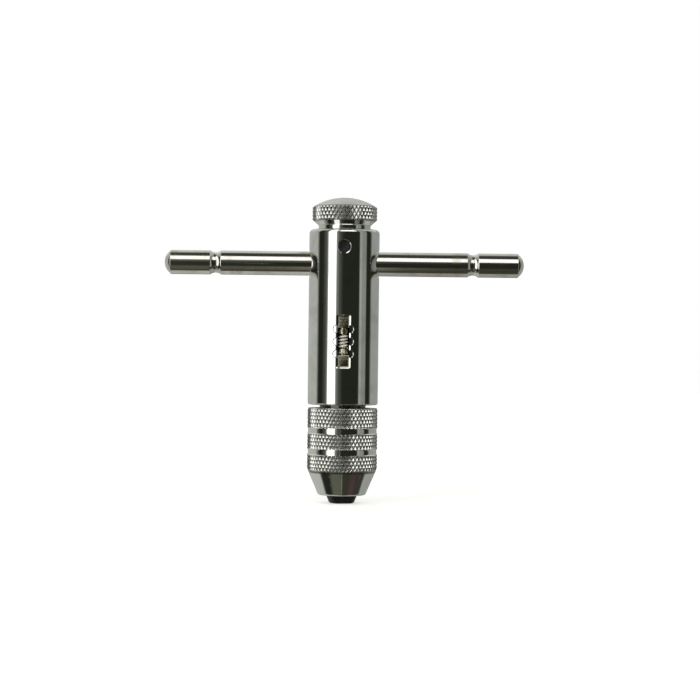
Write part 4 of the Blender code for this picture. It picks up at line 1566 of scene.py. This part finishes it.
@dataclass
class Jaws:
    """The two black jaws, halves of a cone with flat sides and V notches."""

    turn: float = 14.0
    cone: float = 22.0
    nose: float = 2.3 * MM
    nose_radius: float = 4.35 * MM
    limit_radius: float = 6.3 * MM
    half_width: float = 3.0 * MM
    tip_half_width: float = 2.45 * MM
    half_gap: float = 0.07 * MM
    tip_edge: float = 0.5 * MM
    tip_steps: int = 6
    tip_side_share: float = 0.4
    cone_row: float = 4.0 * MM
    row_gap: float = 0.01 * MM
    notch: float = 1.7 * MM
    least_notch: float = 0.2 * MM
    notch_top: float = 10.0 * MM
    pocket_height: float = 12.8 * MM
    pocket_radius: float = 1.3 * MM
    pocket_end: float = 2.45 * MM
    pocket_segments: int = 32
    arc_steps: int = 20
    edge: float = 0.14 * MM

    def build(self, material: bpy.types.Material) -> None:
        """Make both jaws, the left one turned half round from the right one."""
        _, high = corners("jaw_right")
        end = self.pocket_end
        pocket = outline((self.pocket_radius, end), (self.pocket_radius, -end))
        for name, turn in (("right", self.turn), ("left", self.turn + 180.0)):
            skin = placed(self.jaw(high[2]), turn_about_z, turn)
            piece = make_object(f"jaw_{name}_body", skin)
            face_outwards(piece)
            cutter = turned_skin(pocket, self.pocket_segments, end, -end)
            placed(cutter, lay_along_x, self.pocket_height)
            placed(cutter, turn_about_z, turn)
            combine(piece, [make_object("pocket_cut", cutter)], "DIFFERENCE")
            round_edges(piece, self.edge)
            apply_modifiers(piece)
            settle(piece, material, f"jaw_{name}", f"jaw_{name}")

    def jaw(self, top: float) -> Skin:
        """Loft the right jaw from its tip to its top.

        At a height the section is bounded by the cone's circle, two flat sides, the flat
        inner face and the V notch in it. The circle's radius grows with the cone's
        tangent up to a limit, and rounds in over the tip's edge as a quarter ellipse. The
        flat sides close in evenly from the nose to the tip.

        Args:
            top: The jaw's upper end.

        Returns:
            The jaw about Z, its outer side along +X.
        """
        quarter = np.radians(np.linspace(0.0, 90.0, self.tip_steps + 1))
        tip = self.tip_edge * (1.0 - np.cos(quarter))
        nose = (self.nose / 2, self.nose - self.row_gap, self.nose + self.row_gap)
        notch_end = (self.notch_top - self.row_gap, self.notch_top + self.row_gap)
        heights = np.concatenate((tip, nose, (self.cone_row,), notch_end, (top,)))
        slope = math.tan(math.radians(self.cone))
        radius = np.minimum(self.nose_radius + (heights - self.nose) * slope, self.limit_radius)
        sunk = np.clip(1.0 - heights / self.tip_edge, 0.0, 1.0)
        rounded = self.tip_edge * (1.0 - np.sqrt(1.0 - sunk**2))
        radius = radius - rounded
        share = np.clip(heights / self.nose, 0.0, 1.0)
        half_width = self.tip_half_width + (self.half_width - self.tip_half_width) * share
        half_width = half_width - self.tip_side_share * rounded
        notch = np.where(heights < self.notch_top, self.notch, self.half_gap)
        reach = np.arcsin(half_width / radius)
        sweep = np.linspace(-1.0, 1.0, self.arc_steps + 1)
        angle = reach[:, None] * sweep
        outer = np.stack((np.cos(angle), np.sin(angle)), axis=2) * radius[:, None, None]
        notch_side = np.maximum(notch - self.half_gap, self.least_notch)
        gap = np.full(len(heights), self.half_gap)
        zero = np.zeros(len(heights))
        inner = np.stack(
            (
                np.stack((gap, half_width), axis=1),
                np.stack((gap, notch_side), axis=1),
                np.stack((notch, zero), axis=1),
                np.stack((gap, -notch_side), axis=1),
                np.stack((gap, -half_width), axis=1),
            ),
            axis=1,
        )
        flat = np.concatenate((outer, inner), axis=1)
        level = np.broadcast_to(heights[:, None, None], (*flat.shape[:2], 1))
        grid = np.concatenate((flat, level), axis=2)
        seen_from = self.notch + self.tip_edge
        return Skin(grid, False, np.array((seen_from, 0.0, 0.0)), np.array((seen_from, 0.0, top)))


@dataclass
class InnerWorks:
    """The parts inside, which keep their frame shapes and get worked steel finishes; the spindle's dark
    steel is painted shade for the gap under the barrel.
    """

    turned: tuple = ("selector_stem", "thrust_washer")
    # The spindle's dark steel is painted shade for the gap under the barrel.
    gap_shaded: tuple = ("spindle",)
    hard: tuple = (
        "detent_ball",
        "ratchet_crown_upper",
        "ratchet_crown_lower",
        "crown_pin_upper",
        "crown_pin_lower",
    )
    sprung: tuple = ("detent_spring", "retaining_ring", "jaw_spring", "sleeve_stop_ring")

    def dress(self, effects: Effects, wire: bpy.types.Material) -> None:
        """Put the finishes into the nodes' material slots.

        Args:
            effects: The shared node groups.
            wire: The springs' and snap rings' material.
        """
        groups = (
            (self.turned, TURNED_STEEL.build(effects)),
            (self.gap_shaded, GAP_SHADE_STEEL.build(effects)),
            (self.hard, HARD_STEEL.build(effects)),
            (self.sprung, wire),
        )
        for names, material in groups:
            for name in names:
                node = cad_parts[name]
                if not node.material_slots:
                    node.data.materials.append(material)
                for holder in node.material_slots:
                    holder.material = material
                LOG.info("%s keeps its frame shape, with %s", name, material.name)


# ---------------------------------------------------------------------------
# Studio
# ---------------------------------------------------------------------------


@dataclass(frozen=True)
class Panel:
    """A soft panel or a dark flag round the tool, by the direction that it lies in.

    Attributes:
        name: What it is.
        left: The azimuth of its left edge; 0 is towards -Y and +90 towards +X.
        right: The azimuth of its right edge.
        foot: The elevation of its lower edge.
        top: The elevation of its upper edge.
        side_blur: How far its side edges fade.
        end_blur: How far its lower and upper edges fade.
        colour: Its light.
    """

    name: str
    left: float
    right: float
    foot: float
    top: float
    side_blur: float
    end_blur: float
    colour: tuple


# Where two panels overlap, the later one covers the earlier one. Azimuths end at 180 and
# elevations at 90, so an edge past those is no edge.
PANELS = (
    Panel("wall behind left", -400.0, -94.0, -95.0, 95.0, 14.0, 1.0, (0.49, 0.50, 0.47)),
    Panel("wall behind right", 100.0, 400.0, -95.0, 95.0, 12.0, 1.0, (0.34, 0.35, 0.33)),
    Panel("window behind left", -400.0, -125.0, 20.0, 66.0, 12.0, 14.0, (0.70, 0.71, 0.68)),
    Panel("window behind right", 125.0, 400.0, 20.0, 66.0, 12.0, 14.0, (0.62, 0.63, 0.60)),
    Panel("dark strip behind left", -400.0, -168.0, -28.0, 8.0, 6.0, 8.0, (0.05, 0.052, 0.045)),
    Panel("dark strip behind right", 168.0, 400.0, -28.0, 8.0, 6.0, 8.0, (0.05, 0.052, 0.045)),
    Panel("upper left card", -110.0, -32.0, 40.0, 80.0, 14.0, 14.0, (0.38, 0.39, 0.36)),
    Panel("lower left card", -110.0, -40.0, -82.0, -55.0, 14.0, 10.0, (0.28, 0.28, 0.26)),
    Panel("upper right card", 52.0, 118.0, 36.0, 80.0, 14.0, 14.0, (0.46, 0.47, 0.44)),
    Panel("lower right card", 60.0, 118.0, -82.0, -53.0, 14.0, 10.0, (0.32, 0.32, 0.30)),
    Panel("low front left", -52.0, -1.5, -72.0, -34.0, 18.0, 8.0, (0.105, 0.112, 0.080)),
    Panel("low front right", -1.5, 44.0, -72.0, -34.0, 3.0, 8.0, (0.042, 0.041, 0.030)),
    Panel("low front line", -2.0, 1.5, -72.0, -34.0, 2.0, 8.0, (0.24, 0.25, 0.20)),
    Panel("low right warm", 38.0, 66.0, -72.0, -34.0, 10.0, 8.0, (0.070, 0.046, 0.040)),
    Panel("low right dark", 66.0, 96.0, -58.0, -34.0, 14.0, 8.0, (0.045, 0.042, 0.038)),
    Panel("front left shade", -68.0, -8.0, -34.0, 60.0, 14.0, 10.0, (0.075, 0.078, 0.068)),
    Panel("front left fill", -58.0, -18.0, -34.0, 60.0, 8.0, 10.0, (0.20, 0.205, 0.19)),
    Panel("front right fill", 53.0, 78.0, -34.0, 70.0, 5.0, 12.0, (0.27, 0.28, 0.26)),
    Panel("front right line", 53.0, 61.0, -34.0, 70.0, 5.0, 12.0, (0.38, 0.39, 0.36)),
    Panel("left strip light", -52.5, -26.0, -32.0, 66.0, 6.0, 12.0, (2.0, 2.0, 1.94)),
    Panel("front dim card", -14.0, 1.0, 7.0, 32.0, 5.0, 8.0, (0.10, 0.103, 0.090)),
    Panel("front upper light", -16.0, 44.0, 27.0, 61.0, 10.0, 13.0, (1.6, 1.6, 1.54)),
    Panel("ceiling", -400.0, 400.0, 76.0, 95.0, 1.0, 8.0, (0.05, 0.048, 0.042)),
    Panel("underside", -34.0, 40.0, -95.0, -70.0, 8.0, 16.0, (0.060, 0.050, 0.040)),
)


@dataclass
class Studio:
    """Pale floor, soft panels of light and the camera."""

    ambient: tuple = (0.019, 0.021, 0.015)
    backdrop: float = 1.0
    floor_size: float = 3.0
    floor_gap: float = 0.02 * MM
    floor_colour: tuple = (0.90, 0.90, 0.89)
    floor_roughness: float = 0.9
    floor_glow: float = 0.62
    aim: tuple = (1.88 * MM, 0.0, 42.65 * MM)
    distance: float = 560.0 * MM
    view_width: float = 195.0 * MM
    roll: float = 0.68
    sensor: float = 36.0
    far_limit: float = 10.0

    def build(self) -> None:
        """Make the world, the floor and the camera."""
        self.world()
        self.floor()
        self.camera()
        bpy.context.scene.view_settings.view_transform = "Standard"

    @staticmethod
    def panel_group() -> bpy.types.NodeTree:
        """Build the group that masks one panel by azimuth and elevation."""
        names = ("Azimuth", "Elevation", "Left", "Right", "Foot", "Top", "Side Blur", "End Blur")
        tree, graph, given, result = new_group("soft_panel", {name: 0.0 for name in names}, "Mask")

        def edge(value: str, limit: str, blur: str, sign: float) -> bpy.types.NodeSocket:
            """Ease from 0 to 1 across one edge, inwards."""
            inwards = graph.math("MULTIPLY", graph.math("SUBTRACT", given[value], given[limit]), sign)
            half = graph.math("MULTIPLY", given[blur], 0.5)
            return graph.ramp(inwards, graph.math("MULTIPLY", half, -1.0), half)

        left = edge("Azimuth", "Left", "Side Blur", 1.0)
        right = edge("Azimuth", "Right", "Side Blur", -1.0)
        foot = edge("Elevation", "Foot", "End Blur", 1.0)
        top = edge("Elevation", "Top", "End Blur", -1.0)
        sides = graph.math("MULTIPLY", left, right)
        ends = graph.math("MULTIPLY", foot, top)
        graph.feed(result, graph.math("MULTIPLY", sides, ends))
        return tree

    def world(self) -> None:
        """Light the tool from every direction: the camera itself sees plain white."""
        world = bpy.data.worlds.new("studio")
        bpy.context.scene.world = world
        world.use_nodes = True
        graph = Graph(world.node_tree)
        direction = graph.node("ShaderNodeTexCoord").outputs["Generated"]
        parts = graph.node("ShaderNodeSeparateXYZ", {0: direction}).outputs
        towards = graph.math("MULTIPLY", parts["Y"], -1.0)
        azimuth = graph.math("DEGREES", graph.math("ARCTAN2", parts["X"], towards))
        elevation = graph.math("DEGREES", graph.math("ARCSINE", parts["Z"]))
        mask = self.panel_group()
        light = (*self.ambient, 1.0)
        for panel in PANELS:
            inputs = {
                "Azimuth": azimuth,
                "Elevation": elevation,
                "Left": panel.left,
                "Right": panel.right,
                "Foot": panel.foot,
                "Top": panel.top,
                "Side Blur": panel.side_blur,
                "End Blur": panel.end_blur,
            }
            share = graph.group(mask, inputs, panel.name)
            light = graph.blend(share, light, (*panel.colour, 1.0))
        seen = graph.node("ShaderNodeLightPath").outputs["Is Camera Ray"]
        plain = (self.backdrop, self.backdrop, self.backdrop, 1.0)
        background = world.node_tree.nodes["Background"]
        graph.feed(background.inputs["Color"], graph.blend(seen, light, plain))

    def floor(self) -> None:
        """Lay the pale floor under the jaw tips; a view from below sees through it."""
        half = self.floor_size / 2
        level = CAD_BOX[0].z - self.floor_gap
        plan = ((-half, -half), (half, -half), (half, half), (-half, half))
        mesh = bpy.data.meshes.new("floor")
        mesh.from_pydata([(x, y, level) for x, y in plan], [], [(0, 1, 2, 3)])
        material = bpy.data.materials.new("pale_floor")
        material.use_nodes = True
        shader = material.node_tree.nodes["Principled BSDF"]
        shader.inputs["Base Color"].default_value = (*self.floor_colour, 1.0)
        shader.inputs["Roughness"].default_value = self.floor_roughness
        shader.inputs["Emission Color"].default_value = (*self.floor_colour, 1.0)
        shader.inputs["Emission Strength"].default_value = self.floor_glow
        graph = Graph(material.node_tree)
        below = graph.node("ShaderNodeNewGeometry").outputs["Backfacing"]
        clear = graph.node("ShaderNodeBsdfTransparent").outputs["BSDF"]
        mixed = graph.node("ShaderNodeMixShader", {0: below, 1: shader.outputs["BSDF"], 2: clear})
        surface = material.node_tree.nodes["Material Output"].inputs["Surface"]
        graph.feed(surface, mixed.outputs["Shader"])
        mesh.materials.append(material)
        floor = bpy.data.objects.new("floor", mesh)
        floor.visible_glossy = False
        bpy.context.scene.collection.objects.link(floor)

    def camera(self) -> None:
        """Set the camera level with the tool's middle, looking along +Y, rolled a little."""
        data = bpy.data.cameras.new("camera")
        data.sensor_width = self.sensor
        data.lens = self.sensor * self.distance / self.view_width
        data.clip_end = self.far_limit
        camera = bpy.data.objects.new("camera", data)
        camera.location = (self.aim[0], self.aim[1] - self.distance, self.aim[2])
        camera.rotation_euler = (math.pi / 2, -math.radians(self.roll), 0.0)
        bpy.context.scene.collection.objects.link(camera)
        bpy.context.scene.camera = camera


def main() -> None:
    """Build every sub-assembly in order, then the studio."""
    logging.basicConfig(level=logging.INFO, format="%(message)s")
    effects = Effects()
    wire = SPRING_WIRE.build(effects)
    black = BLACK_OXIDE.build(effects)
    Barrel().build(CHROME.build(effects))
    TBar().build(BAR_NICKEL.build(effects))
    SelectorKnob(DiamondKnurl(KNOB_PYRAMIDS)).build(KNOB_CHROME.build(effects))
    SelectorPin().build(black)
    Pawls().build(PAWL_STEEL.build(effects), wire)
    ChuckSleeve(DiamondKnurl(SLEEVE_PYRAMIDS)).build(SLEEVE_CHROME.build(effects))
    Jaws().build(black)
    InnerWorks().dress(effects, wire)
    Studio().build()


if __name__ == "__main__":
    main()
